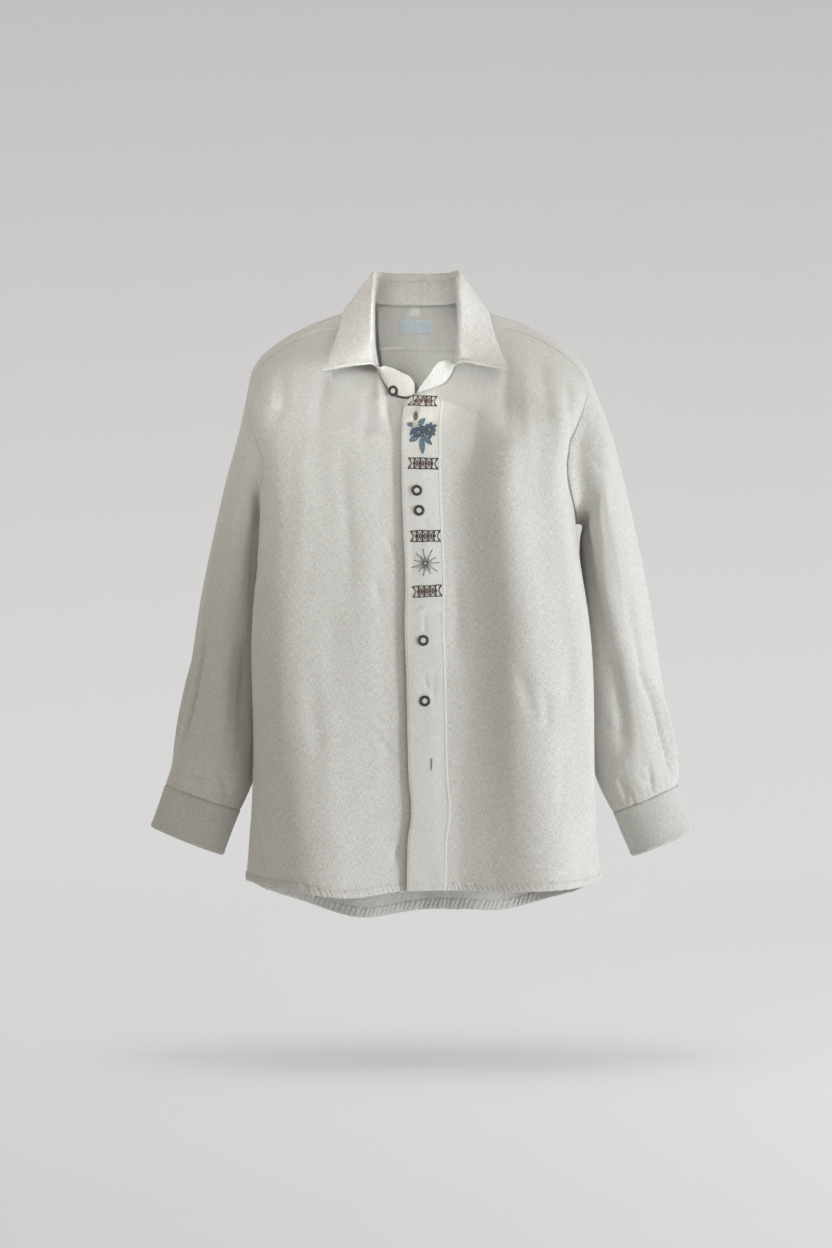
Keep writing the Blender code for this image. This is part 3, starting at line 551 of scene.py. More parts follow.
def edge_angle(edge, up):
    """Ring angle of a front's free edge at distances up."""
    heights, places = zip(*edge)
    z = plain_body(np.zeros(np.shape(up)), up)[..., 2]
    return angle_at(through(np.array(heights) * MM, np.array(places) * MM, z), up)


def armhole_place(turn, out=0.0):
    """(ring angle, distance up) round the armhole, moved outwards by out metres along the cloth."""
    turn = np.radians(np.asarray(turn, float))
    spread = np.where(np.sin(turn) > 0, ARMHOLE_FRONT, ARMHOLE_BACK) + out / (DEGREE_MM * MM)
    middle, half = (ARMPIT_UP + TIP_UP) / 2, (TIP_UP - ARMPIT_UP) / 2 + out
    return 90 - spread * np.sin(turn), middle - half * np.cos(turn)


# Rows up from the hem, and places across a panel that crowd together beside its seams.
HEM_ROWS = np.array([0, 2, 4, 6, 8, 10, 12.5]) * MM
BELOW = np.concatenate([HEM_ROWS, np.linspace(16 * MM, ARMPIT_UP, 112)])


def crowded(count, length, start=True, end=True):
    """Shares from 0 to 1 with extra places 0.8, 1.9 and 3.4 mm from the marked ends."""
    extra = np.array([0.8, 1.9, 3.4]) * MM / length
    even = np.linspace(0, 1, count + 1)
    low, high = (6 * MM / length if start else 0), (1 - 6 * MM / length if end else 1)
    inner = even[(even > low) & (even < high)]
    parts = [[0.0], extra if start else [], inner, 1 - extra[::-1] if end else [], [1.0]]
    return np.unique(np.concatenate(parts))


def front_places(edge, side):
    """Grid of (ring angle, distance up) of one front. side is 1 for the wearer's left, -1 for the right."""
    turns = np.arange(TURN_STEP, YOKE_FRONT_TURN + 0.1, TURN_STEP)
    hole_angle, hole_up = armhole_place(turns)
    share = crowded(38, SHOULDER_LENGTH, start=False)[1:]
    side_angle = np.concatenate([
        np.full(BELOW.shape, 90.0), hole_angle, hole_angle[-1] + (YOKE_NECK_ANGLE - hole_angle[-1]) * share,
    ])
    side_up = np.concatenate([BELOW, hole_up, hole_up[-1] + (NECK_UP - hole_up[-1]) * share])
    above = len(side_up) - len(BELOW)
    rise = np.concatenate([np.arange(1, above - 3) / above, 1 - (1 - share[-4:]) * 0.5])
    centre_up = np.concatenate([BELOW, ARMPIT_UP + (NECK_UP - ARMPIT_UP) * rise])
    start = edge_angle(edge, centre_up)
    share = crowded(98, FRONT_WIDTH, start=False)[None, :]
    angle = start[:, None] + (side * side_angle[:, None] - start[:, None]) * share
    up = centre_up[:, None] + (side_up - centre_up)[:, None] * smooth(share, 0.0, 1.0)
    return angle, up


def back_places():
    """Grid of (ring angle, distance up) of the back panel, from the wearer's left side to the right one."""
    turns = np.arange(360 - TURN_STEP, YOKE_BACK_TURN - 0.1, -TURN_STEP)
    hole_angle, hole_up = armhole_place(turns)
    side_angle = np.concatenate([np.full(BELOW.shape, 90.0), hole_angle])
    side_up = np.concatenate([BELOW, hole_up])
    centre_up = np.concatenate([
        BELOW, ARMPIT_UP + (YOKE_CENTRE_UP - ARMPIT_UP) * np.arange(1, len(turns) + 1) / len(turns),
    ])
    share = crowded(165, BACK_WIDTH)[None, :]
    angle = side_angle[:, None] + (360 - 2 * side_angle[:, None]) * share
    up = side_up[:, None] + (centre_up - side_up)[:, None] * yoke_rise(share)
    return angle, up


def yoke_rise(share):
    """How the back yoke seam climbs from the armhole (0) to the centre back (0.5) and down again (1)."""
    return 1 - (2 * np.abs(share - 0.5)) ** 2.2


def yoke_places():
    """Grid of (ring angle, distance up) of the yoke, from the left front seam round the back to the right."""
    turns = np.arange(YOKE_FRONT_TURN, YOKE_BACK_TURN + 0.1, TURN_STEP)
    side_angle, side_up = armhole_place(turns)
    share = crowded(165, BACK_WIDTH)[1:-1]
    seam_angle = side_angle[-1] + (360 - 2 * side_angle[-1]) * share
    seam_up = side_up[-1] + (YOKE_CENTRE_UP - side_up[-1]) * yoke_rise(share)
    low_angle = np.concatenate([side_angle, seam_angle, 360 - side_angle[::-1]])
    low_up = np.concatenate([side_up, seam_up, side_up[::-1]])
    reach = (low_angle - 180) / (180 - low_angle[0])
    neck_angle = 180 + (180 - YOKE_NECK_ANGLE) * reach
    share = crowded(34, YOKE_DEPTH)[:, None]
    angle = low_angle[None, :] + (neck_angle - low_angle)[None, :] * share
    up = low_up[None, :] + (NECK_UP - low_up)[None, :] * share
    return angle, up


def lengths_along(points, axis=0):
    """Distance of each point of a grid from the first one along its row (axis 1) or column (axis 0)."""
    steps = np.cumsum(np.linalg.norm(np.diff(points, axis=axis), axis=-1), axis=axis)
    start = np.zeros_like(np.take(steps, [0], axis=axis))
    return np.concatenate([start, steps], axis=axis)


def border_distance(points, borders):
    """Distance of each grid point along its row or column from the nearest of the named borders."""
    found = {
        "first_column": lengths_along(points, 1),
        "last_column": lengths_along(points[:, ::-1], 1)[:, ::-1],
        "first_row": lengths_along(points),
        "last_row": lengths_along(points[::-1])[::-1],
    }
    return np.min([found[name] for name in borders], axis=0)


def seam_lift(distance, depth=0.9, swell=0.35):
    """The dip of a panel at its seams and the swell of the folded layers beside them."""
    dip = -depth * bell(distance, 1.1 * MM)
    layers = smooth(distance, 0.5 * MM, 2 * MM) * (1 - smooth(distance, 5.5 * MM, 7.5 * MM))
    return MM * (dip + swell * layers)


def under_left_front(points):
    """How far the right front lies behind the left one, at sideways place x."""
    return -UNDERLAP * smooth(points[..., 0], -70 * MM, -24 * MM)


def front_panel(side):
    """Points of a front panel. The right front passes behind the left one at the centre."""
    angle, up = front_places(LEFT_EDGE if side > 0 else RIGHT_EDGE, side)
    distance = border_distance(plain_body(angle, up), ("last_column", "last_row"))
    points = body(angle, up, seam_lift(distance))
    if side < 0:
        points = points + body_normal(angle, up) * under_left_front(points)[..., None]
    return points, np.stack([angle * DEGREE_MM * MM, up], axis=-1)


def back_panel():
    angle, up = back_places()
    distance = border_distance(plain_body(angle, up), ("first_column", "last_column", "last_row"))
    return body(angle, up, seam_lift(distance)), np.stack([angle * DEGREE_MM * MM, up], axis=-1)


def yoke_panel():
    angle, up = yoke_places()
    borders = ("first_column", "last_column", "first_row", "last_row")
    distance = border_distance(plain_body(angle, up), borders)
    return body(angle, up, seam_lift(distance)), np.stack([up, angle * DEGREE_MM * MM], axis=-1)


def grid_normals(points):
    """Outward directions at the points of a panel's grid, found from its neighbours."""
    return unit(np.cross(np.gradient(points, axis=1), np.gradient(points, axis=0)))


def creased(points, creases):
    """The grid moved along its normals by its own creases."""
    normals = grid_normals(points)
    lines = crease_lines(creases, points, normals)
    return points + normals * crease_height(points, creases, lines)[..., None]


def placket():
    """The band on the left front, from the neck to the hem, made from that front's points moved out."""
    panel, _ = front_panel(1)
    both = np.concatenate([panel, grid_normals(panel)], axis=2)
    length = lengths_along(panel, 1)
    rows = len(panel)
    top = np.arange(rows)[:, None] / (rows - 1)
    share = crowded(24, PLACKET_WIDTH)[None, :]
    distances = PLACKET_WIDTH * share * (1 - 0.3 * smooth(top, 0.93, 1.0))
    found = np.empty((rows, distances.shape[1], 6))
    for row in range(rows):
        for axis in range(6):
            found[row, :, axis] = np.interp(distances[row], length[row], both[row, :, axis])
    edge = np.minimum(distances, distances[:, -1:] - distances)
    raised = 1.35 * MM + 0.3 * MM * (smooth(edge, 1 * MM, 2.5 * MM) - smooth(edge, 5 * MM, 7 * MM))
    raised = raised - 0.9 * MM * bell(distances[:, -1:] - distances, 6.0 * MM)
    points = found[..., :3] + unit(found[..., 3:]) * raised[..., None]
    uv = np.stack([distances, np.broadcast_to(panel[:, :1, 2], distances.shape)], axis=-1)
    return creased(points, PLACKET_CREASES), uv


def collar_profiles(angles, steps=64):
    """For each ring angle, a fine line of points from the neck seam, over the roll, to the leaf's edge."""
    angles = np.asarray(angles, float)
    away = np.abs(turned(angles, 0))
    side = np.where(angles % 360 > 180, -1.0, 1.0)
    stand = sorted(STAND)
    leaf = sorted(LEAF)
    columns = through([row.angle for row in stand], [row[1:] for row in stand], away).T * MM
    left_height, right_height, lean, rise = columns
    height = np.where(side > 0, left_height, right_height)
    edge = through([row.angle for row in leaf], [row[1:] for row in leaf], away) * MM
    edge[:, 0] = RINGS[-1].centre_x * MM + side * edge[:, 0]
    neck_up = np.full(len(angles), NECK_UP)
    base = plain_body(angles, neck_up)
    along = plain_body(angles + 1, neck_up) - plain_body(angles - 1, neck_up)
    out = unit(np.stack([along[:, 1], -along[:, 0], np.zeros(len(angles))], axis=1))
    along = unit(along)
    rolled = smooth(away, ROLL_FROM, ROLL_TO)[:, None]
    across = unit(np.array([0.0, 0.0, 1.0]) - along * along[:, 2:] * rolled)
    base = base + across * 0.6 * MM
    roll = base + out * lean[:, None] + across * (rise[:, None] + 1.4 * MM)
    s = np.linspace(0, 1, steps)[:, None, None]

    def bend(start, start_slope, end, end_slope):
        return (
            (1 + 2 * s) * (1 - s) ** 2 * start + s * (1 - s) ** 2 * start_slope
            + s * s * (3 - 2 * s) * end + s * s * (s - 1) * end_slope
        )

    upward = across * np.linalg.norm(roll - base, axis=1)[:, None] * 0.9
    over = out * ROLL_ROUNDNESS * rolled + upward * (1 - rolled)
    first = bend(base, upward, roll, over)
    second = bend(roll, over, edge, (edge - roll) * 0.9)
    return np.concatenate([first, second[1:]]), height


def along_profile(profiles, distances):
    """Points of each profile at distances from its start. distances has one row for each point wanted."""
    length = lengths_along(profiles)
    found = np.empty((len(distances), profiles.shape[1], 3))
    for column in range(profiles.shape[1]):
        for axis in range(3):
            found[:, column, axis] = np.interp(
                distances[:, column], length[:, column], profiles[:, column, axis]
            )
    return found, length[-1]


def leaf_angles():
    return np.linspace(LEAF_END_ANGLE, 360 - LEAF_END_ANGLE, 161)


def collar_gather(angles, high):
    """Upright gathers at the back of the collar that run up the stand and over its fold."""
    s = np.asarray(angles, float)
    away = np.abs(s - 180)
    strong = 1 - smooth(away, 62, 92)
    wave = np.sin(2 * np.pi * (s + 4.2 * uneven_line(s, 13, 21)) / 11.0)
    return 0.62 * MM * strong * wave * (0.6 + 0.4 * uneven_line(s, 17, 22)) * high


def collar_stand():
    ends = np.linspace(STAND_END_ANGLE, LEAF_END_ANGLE, 41)
    angles = np.concatenate([ends[:-1], leaf_angles(), 360 - ends[::-1][1:]])
    profiles, height = collar_profiles(angles)
    share = crowded(11, STAND_HEIGHT)[:, None]
    points, _ = along_profile(profiles, share * height[None, :])
    rows = smooth(share, 0.15, 0.7) * np.ones_like(height)[None, :]
    lift = collar_gather(angles[None, :] * np.ones_like(rows), rows)
    lift = lift - 0.5 * MM * bell(share * STAND_HEIGHT, 1.2 * MM)
    uv = paired(angles[None, :] * 1.2 * MM, share * height[None, :])
    return points + grid_normals(points) * lift[..., None], uv


def collar_leaf():
    angles = leaf_angles()
    profiles, height = collar_profiles(angles)
    _, length = along_profile(profiles, np.zeros((1, len(angles))))
    start = height + 0.2 * MM
    share = crowded(34, LEAF_WIDTH, start=False)[:, None]
    distance = start[None, :] + (length - start)[None, :] * share
    points, _ = along_profile(profiles, distance)
    rows = (1 - smooth(share, 0.02, 0.35)) * np.ones_like(height)[None, :]
    lift = collar_gather(angles[None, :] * np.ones_like(rows), rows)
    edge = border_distance(points, ("first_column", "last_column", "last_row"))
    lift = lift + 0.45 * MM * (1 - smooth(edge, 1.5 * MM, 3.2 * MM))
    lift = lift + 0.5 * MM * uneven(angles[None, :], distance, 14, 0.02, 31) * smooth(share, 0, 0.3)
    uv = paired(angles[None, :] * 1.6 * MM, distance)
    return points + grid_normals(points) * lift[..., None], uv


def sleeve_ring(ring, turns, side):
    """An oval through the ring's outer and inner points. Turn 0 is the inner side and 90 the front."""
    turn = np.radians(turns)
    outer = np.array([ring.outer_x, 0, ring.outer_z])
    inner = np.array([ring.inner_x, 0, ring.inner_z])
    middle = (outer + inner) / 2 + np.array([0, ring.middle_y, 0])
    across = (outer - inner) / 2
    depth = np.array([0, -ring.half_depth, 0])
    points = middle - np.cos(turn)[:, None] * across + np.sin(turn)[:, None] * depth
    points[:, 0] = SLEEVE_CENTRE + side * points[:, 0]
    return points * MM


def cuff_half_depth(cuff):
    """Half depth that gives the oval cuff its girth, found by halving."""
    half_width = math.hypot(cuff.outer_x - cuff.inner_x, cuff.outer_z - cuff.inner_z) / 2 * MM
    low, high = 0.0, CUFF_GIRTH
    for _ in range(40):
        depth = (low + high) / 2
        h = ((half_width - depth) / (half_width + depth)) ** 2
        girth = math.pi * (half_width + depth) * (1 + 3 * h / (10 + math.sqrt(4 - 3 * h)))
        low, high = (depth, high) if girth < CUFF_GIRTH else (low, depth)
    return depth


def cuff_oval(cuff, low=False):
    """The cuff's upper or lower edge as a sleeve ring."""
    edge = cuff[4:] if low else cuff[:4]
    return SleeveRing(*edge, cuff_half_depth(cuff) / MM, CUFF_MIDDLE_Y)


def sleeve(side):
    """A sleeve's tube. Under the arm, where it doubles back over the body, it starts on top of the panel."""
    turns = np.arange(0, 360, TURN_STEP)
    angle, up = armhole_place(turns)
    sections = np.stack([
        body(side * angle, up),
        *(sleeve_ring(ring, turns, side) for ring in (*SLEEVE_RINGS, cuff_oval(CUFFS[side]))),
    ])
    near_top = np.array([0, 0.008, 0.018, 0.032, 0.05])
    near_cuff = 8 - np.array([0.04, 0.02, 0.008, 0])
    places = np.concatenate([near_top, np.arange(0.09, 7.95, 0.058), near_cuff])
    rows = through(np.arange(len(sections)), sections, places)
    middle_up = (ARMPIT_UP + TIP_UP) / 2
    into_hole = unit(body(side * (angle + (90 - angle) * 0.05), up + (middle_up - up) * 0.05) - rows[0])
    leaving = unit(rows[6] - rows[0])
    straight_on = np.sum(leaving * into_hole, axis=1)
    on_top = (1 - smooth(straight_on, -0.3, 0.6)) * 1.6 * MM
    fade = 1 - smooth(places, 0.0, 0.35)
    rows = rows + body_normal(side * angle, up)[None] * (on_top[None, :] * fade[:, None])[..., None]
    normals = tube_normals(rows)
    from_top = lengths_along(rows)
    to_cuff = from_top[-1:] - from_top
    lift = -1.0 * MM * bell(from_top, 1.3 * MM) - 0.9 * MM * bell(to_cuff, 1.3 * MM)
    s = turns[None, :] * 1.1 * MM
    ease = np.sin(2 * np.pi * (s + 4 * MM * uneven(s, from_top, 31 * MM, 90 * MM, 41)) / (13.2 * MM))
    lift = lift + 0.5 * MM * ease * bell(to_cuff - 6 * MM, 14 * MM) * smooth(to_cuff, 1 * MM, 5 * MM)
    lift = lift + 0.3 * MM * ease * np.exp(-from_top / (12 * MM)) * smooth(from_top, 1 * MM, 5 * MM)
    lift = lift + 0.8 * MM * uneven(turns[None, :] * 64 / 360, from_top, 2.0, 0.15, 43 + side)
    lift = lift + 0.3 * MM * uneven(turns[None, :] * 64 / 360, from_top, 1.0, 0.05, 47 + side)
    creases = LEFT_SLEEVE_CREASES if side > 0 else RIGHT_SLEEVE_CREASES
    lines = crease_lines(creases, rows, normals)
    lift = lift + crease_height(rows, creases, lines) * smooth(from_top, 0, 15 * MM)
    uv = np.stack([np.broadcast_to(s, from_top.shape), from_top], axis=-1)
    return rows + normals * lift[..., None], uv


def tube_normals(rows):
    """Outward directions of a tube whose columns go once round."""
    around = np.roll(rows, -1, axis=1) - np.roll(rows, 1, axis=1)
    normals = unit(np.cross(around, np.gradient(rows, axis=0)))
    outward = rows - rows.mean(axis=1, keepdims=True)
    return normals * np.sign(np.sum(normals * outward, axis=-1).mean())


def cuff_band(side):
    """A strip wound once round the wrist, its end lapping over its start at the back."""
    lap = 360 * CUFF_OVERLAP / CUFF_GIRTH
    turns = np.linspace(240, 600 + lap, 150)
    top = sleeve_ring(cuff_oval(CUFFS[side]), turns, side)
    low = sleeve_ring(cuff_oval(CUFFS[side], low=True), turns, side)
    out = unit(top - top.mean(axis=0))
    share = crowded(22, CUFF_HEIGHT)[:, None]
    edge = np.minimum(share, 1 - share) * CUFF_HEIGHT
    s = turns[None, :] * CUFF_GIRTH / 360
    lift = smooth(turns, 560, 600)[None, :] * 2.2 * MM
    lift = lift + 0.4 * MM - 0.7 * MM * bell(edge, 1.0 * MM)
    lift = lift + 0.35 * MM * bell(edge - 2.4 * MM, 1.6 * MM)
    lift = lift + 0.35 * MM * uneven(s, share, 21 * MM, 0.5, 53 + side)
    lift = lift + 0.16 * MM * np.sin(2 * np.pi * s / (5.5 * MM)) * bell(edge - 5 * MM, 2.5 * MM)
    points = top[None] + (low - top)[None] * share[..., None] + out[None] * lift[..., None]
    uv = paired(s, share * CUFF_HEIGHT)
    return points, uv


def patch_inside_yoke(centre, size, columns, rows):
    """A small label on the inner face of the yoke at the centre back."""
    x = np.linspace(-size[0] / 2, size[0] / 2, columns + 1)[None, :] + centre[0]
    z = np.linspace(-size[1] / 2, size[1] / 2, rows + 1)[:, None] + centre[1]
    ups = np.linspace(YOKE_CENTRE_UP - 30 * MM, NECK_UP, 60)
    line = body(np.full(ups.shape, 180.0), ups)
    up = np.broadcast_to(np.interp(z, line[:, 2], ups), (rows + 1, columns + 1))
    wide = plain_body(np.full(up.shape, 182.0), up)[..., 0] - plain_body(np.full(up.shape, 178.0), up)[..., 0]
    middle = plain_body(np.full(up.shape, 180.0), up)[..., 0]
    angle = 180 + (x - middle) / wide * 4
    uv = paired(x, z)
    return body(angle, up, -1.0 * MM), uv


# Meshes

def mesh_object(name, vertices, faces, material, uv=None):
    mesh = bpy.data.meshes.new(name)
    mesh.from_pydata(np.asarray(vertices, float).reshape(-1, 3).tolist(), [], faces)
    mesh.shade_smooth()
    mesh.materials.append(material)
    if uv is not None:
        layer = mesh.uv_layers.new(name="cloth")
        corners = np.empty(len(mesh.loops), int)
        mesh.loops.foreach_get("vertex_index", corners)
        layer.data.foreach_set("uv", np.asarray(uv, float).reshape(-1, 2)[corners].ravel())
    piece = bpy.data.objects.new(name, mesh)
    bpy.context.scene.collection.objects.link(piece)
    return piece


def grid_faces(rows, columns, flip):
    faces = []
    for i in range(rows - 1):
        for j in range(columns - 1):
            k = j + 1
            face = (i * columns + j, i * columns + k, (i + 1) * columns + k, (i + 1) * columns + j)
            faces.append(face[::-1] if flip else face)
    return faces


def cloth(name, grid, thickness, material, ring=False, flip=False):
    """An open sheet through a grid of points, made a thin wall."""
    points, uv = grid
    if ring:
        points = np.concatenate([points, points[:, :1]], axis=1)
        first = uv[:, :1].copy()
        first[..., 0] += uv[:, -1:, 0] + (uv[:, 1:2, 0] - uv[:, :1, 0])
        uv = np.concatenate([uv, first], axis=1)
    piece = mesh_object(name, points, grid_faces(*points.shape[:2], flip), material, uv)
    if ring:
        weld = piece.modifiers.new("join", "WELD")
        weld.merge_threshold = 0.00002
    wall = piece.modifiers.new("wall", "SOLIDIFY")
    wall.thickness = thickness
    wall.offset = 0
    return piece


THREAD_SHARES = np.array([0.0, 0.2, 0.8, 1.0])
THREAD_SIZES = np.array([0.35, 1.0, 1.0, 0.35])
THREAD_RISES = np.array([-0.6, 0.4, 0.4, -0.6])
THREAD_SIDES = 5


def threads(name, starts, ends, normals, radii, material):
    """Short rounded threads that lie on a surface, each from a start to an end."""
    starts, ends, normals = (np.asarray(places, float) for places in (starts, ends, normals))
    radii = np.broadcast_to(np.asarray(radii, float), (len(starts),))
    side = unit(np.cross(normals, unit(ends - starts)))
    centre = starts[:, None] + (ends - starts)[:, None] * THREAD_SHARES[None, :, None]
    centre = centre + normals[:, None] * (THREAD_RISES[None, :] * radii[:, None])[..., None]
    turn = 2 * np.pi * np.arange(THREAD_SIDES) / THREAD_SIDES
    ring = side[:, None] * 1.15 * np.cos(turn)[None, :, None] + normals[:, None] * np.sin(turn)[None, :, None]
    size = THREAD_SIZES[None, :] * radii[:, None]
    vertices = centre[:, :, None] + ring[:, None] * size[:, :, None, None]
    count = len(THREAD_SHARES)
    faces = []
    for k in range(len(starts)):
        base = k * count * THREAD_SIDES
        faces.append(tuple(base + turn for turn in range(THREAD_SIDES))[::-1])
        faces.append(tuple(base + (count - 1) * THREAD_SIDES + turn for turn in range(THREAD_SIDES)))
        for row in range(count - 1):
            for turn in range(THREAD_SIDES):
                i = base + row * THREAD_SIDES + turn
                j = base + row * THREAD_SIDES + (turn + 1) % THREAD_SIDES
                faces.append((i, j, j + THREAD_SIDES, i + THREAD_SIDES))
    return mesh_object(name, vertices, faces, material)


def stitches(name, lines, material, pitch=3.0 * MM, radius=0.30 * MM, filled=0.74):
    """Rows of even stitches. Each line is (points, normals) along a seam."""
    starts, ends, outward = [], [], []
    for points, normals in lines:
        length = lengths_along(points)
        count = max(int(length[-1] / pitch), 1)
        for at in np.arange(count) * length[-1] / count:
            starts.append([np.interp(at, length, points[:, k]) for k in range(3)])
            ends.append([np.interp(at + pitch * filled, length, points[:, k]) for k in range(3)])
            outward.append([np.interp(at + pitch / 2, length, normals[:, k]) for k in range(3)])
    return threads(name, starts, ends, unit(np.array(outward)), radius, material)


def line_on(points, thickness, out=1, row=None, column=None, span=slice(None), normals=None):
    """A line along a row or column of a panel, on the face its normals point to (out 1) or the other."""
    normals = (grid_normals(points) if normals is None else normals) * out
    places = points + normals * thickness / 2
    if row is not None:
        return places[row, span], normals[row, span]
    return places[span, column], normals[span, column]


HEM_PROFILE = (
    (11.0, 0.55), (9.6, 0.95), (7.4, 1.15), (4.0, 1.15), (1.2, 1.05), (-0.2, 0.6),
    (-0.2, -0.6), (1.2, -1.05), (4.0, -1.15), (7.4, -1.15), (9.6, -0.95), (11.0, -0.55),
)
HEM_STITCH_UP = 9.0 * MM


def hem_strip(name, start, end, behind=False):
    """The narrow hem round a panel's lower edge between two ring angles, drawn into slanting puckers."""
    count = int(abs(end - start) * DEGREE_MM / 0.75)
    angles = np.linspace(start, end, count + 1)[None, :]
    up, lift = (np.array(column)[:, None] * MM for column in zip(*HEM_PROFILE))
    s = np.broadcast_to(angles * DEGREE_MM * MM, (len(HEM_PROFILE), count + 1))
    bend = uneven_line(s, 19 * MM, 61) * 1.6 * MM
    strong = 0.78 + 0.22 * uneven_line(s, 37 * MM, 62)
    wave = np.sin(2 * np.pi * (s + 0.6 * up + bend) / (5.8 * MM)) * strong
    belly = np.sin(np.pi * np.clip(up, 0, HEM_DEPTH) / HEM_DEPTH)
    pucker = 1.15 * MM * wave * belly * np.sign(lift)
    wander = 0.45 * MM * uneven_line(s, 4.1 * MM, 63) + 0.9 * MM * uneven_line(s, 33 * MM, 64)
    place_up = np.clip(up, 0, None) + 0 * s
    points = body(angles + 0 * s, place_up, lift + pucker)
    if behind:
        points = points + body_normal(angles + 0 * s, place_up) * under_left_front(points)[..., None]
    points[..., 2] += np.minimum(up, 0) + wander * (1 - smooth(up, 0, 9 * MM))
    rows, columns = points.shape[:2]
    faces = []
    for i in range(rows):
        low = (i + 1) % rows
        for j in range(columns - 1):
            face = (i * columns + j, i * columns + j + 1, low * columns + j + 1, low * columns + j)
            faces.append(face if end < start else face[::-1])
    first = tuple(i * columns for i in range(rows))
    last = tuple(i * columns + columns - 1 for i in range(rows))
    faces += [first, last[::-1]] if end > start else [first[::-1], last]
    uv = np.stack([s, up + 0 * s], axis=-1)
    piece = mesh_object(name, points, faces, LINEN_HEM, uv)
    line_up = np.full(count + 1, HEM_STITCH_UP)
    line = body(angles[0], line_up, 1.15 * MM)
    inner = body(angles[0], line_up, -1.15 * MM)
    outward = body_normal(angles[0], line_up)
    if behind:
        shift = outward * under_left_front(line)[..., None]
        line, inner = line + shift, inner + shift
    return ride(piece, "linen"), (line, outward), (inner, -outward)


def ride(piece, slot, *nodes):
    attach(piece, "root")
    if nodes:
        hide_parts(*nodes)
    return piece


# Materials

def socket(shader, name, value):
    shader.inputs[name].default_value = value


def new_material(name):
    material = bpy.data.materials.new(name)
    material.use_nodes = True
    tree = material.node_tree
    return material, tree.nodes, tree.links, tree.nodes["Principled BSDF"]


def coloured(nodes, links, value, stops):
    """Base colour that runs between two stops, each a place on the value and a colour."""
    ramp = nodes.new("ShaderNodeValToRGB")
    for element, (place, colour) in zip(ramp.color_ramp.elements, stops):
        element.position = place
        element.color = (*colour, 1)
    links.new(value, ramp.inputs["Fac"])
    links.new(ramp.outputs["Color"], nodes["Principled BSDF"].inputs["Base Color"])


def bumped(nodes, links, height, strength, distance):
    """Fine relief by a height."""
    bump = nodes.new("ShaderNodeBump")
    socket(bump, "Strength", strength)
    socket(bump, "Distance", distance)
    links.new(height, bump.inputs["Height"])
    links.new(bump.outputs["Normal"], nodes["Principled BSDF"].inputs["Normal"])


def linen(name, pale, dark, weave=1.0, fleck=1.0):
    """Slubby plain weave: threads both ways, uneven in thickness and colour."""
    material, nodes, links, shader = new_material(name)
    socket(shader, "Roughness", 0.88)
    socket(shader, "Specular IOR Level", 0.25)
    socket(shader, "Sheen Weight", 0.22)
    socket(shader, "Sheen Roughness", 0.45)
    socket(shader, "Subsurface Weight", 0.4)
    socket(shader, "Subsurface Radius", (1.0, 0.9, 0.75))
    socket(shader, "Subsurface Scale", 1.1 * MM)
    uv = nodes.new("ShaderNodeUVMap")
    uv.uv_map = "cloth"

    def scaled(u_size, v_size):
        node = nodes.new("ShaderNodeVectorMath")
        node.operation = "MULTIPLY"
        links.new(uv.outputs["UV"], node.inputs[0])
        node.inputs[1].default_value = (1 / u_size, 1 / v_size, 1)
        return node.outputs["Vector"]

    def noise(vector, detail=2.0):
        node = nodes.new("ShaderNodeTexNoise")
        node.noise_dimensions = "2D"
        links.new(vector, node.inputs["Vector"])
        socket(node, "Scale", 1.0)
        socket(node, "Detail", detail)
        return node.outputs["Fac"]

    def maths(operation, first, second):
        node = nodes.new("ShaderNodeMath")
        node.operation = operation
        for place, value in enumerate((first, second)):
            if isinstance(value, (int, float)):
                node.inputs[place].default_value = value
            else:
                links.new(value, node.inputs[place])
        return node.outputs["Value"]

    warp = noise(scaled(0.95 * MM, 6 * MM))
    weft = noise(scaled(6 * MM, 0.95 * MM))
    cloud = noise(scaled(24 * MM, 40 * MM), 3.0)
    flecks = noise(scaled(1.2 * MM, 1.7 * MM), 1.0)
    mixed = maths("ADD", maths("MULTIPLY", warp, 0.39), maths("MULTIPLY", weft, 0.29))
    mixed = maths("ADD", mixed, maths("MULTIPLY", cloud, 0.06))
    mixed = maths("ADD", mixed, maths("MULTIPLY", flecks, 0.26))
    coloured(nodes, links, mixed, ((0.5 - 0.14 / fleck, dark), (0.5 + 0.12 / fleck, pale)))

    threads = []
    for axis in (0, 1):
        part = nodes.new("ShaderNodeSeparateXYZ")
        links.new(scaled(0.95 * MM, 0.95 * MM), part.inputs["Vector"])
        threads.append(maths("SINE", maths("MULTIPLY", part.outputs[axis], math.pi), 0.0))
    plain = maths("MULTIPLY", threads[0], threads[1])
    height = maths("ADD", maths("MULTIPLY", plain, 0.35 * weave), maths("MULTIPLY", warp, 1.5))
    height = maths("ADD", height, maths("MULTIPLY", weft, 1.2))
    height = maths("ADD", height, maths("MULTIPLY", flecks, 0.8))
    bumped(nodes, links, height, 0.55, 0.35 * MM)
    return material


def plain_material(name, colour, roughness, specular=0.4, sheen=0.0, speckle=0.0, scale=900.0):
    """One colour with a fine uneven grain in tone and relief."""
    material, nodes, links, shader = new_material(name)
    socket(shader, "Roughness", roughness)
    socket(shader, "Specular IOR Level", specular)
    socket(shader, "Sheen Weight", sheen)
    place = nodes.new("ShaderNodeTexCoord")
    grain = nodes.new("ShaderNodeTexNoise")
    socket(grain, "Scale", scale)
    socket(grain, "Detail", 3.0)
    links.new(place.outputs["Object"], grain.inputs["Vector"])
    darker = [c * (1 - speckle) for c in colour]
    paler = [min(c * (1 + speckle), 1) for c in colour]
    coloured(nodes, links, grain.outputs["Fac"], ((0.3, darker), (0.7, paler)))
    bumped(nodes, links, grain.outputs["Fac"], 0.3, 0.1 * MM)
    return material


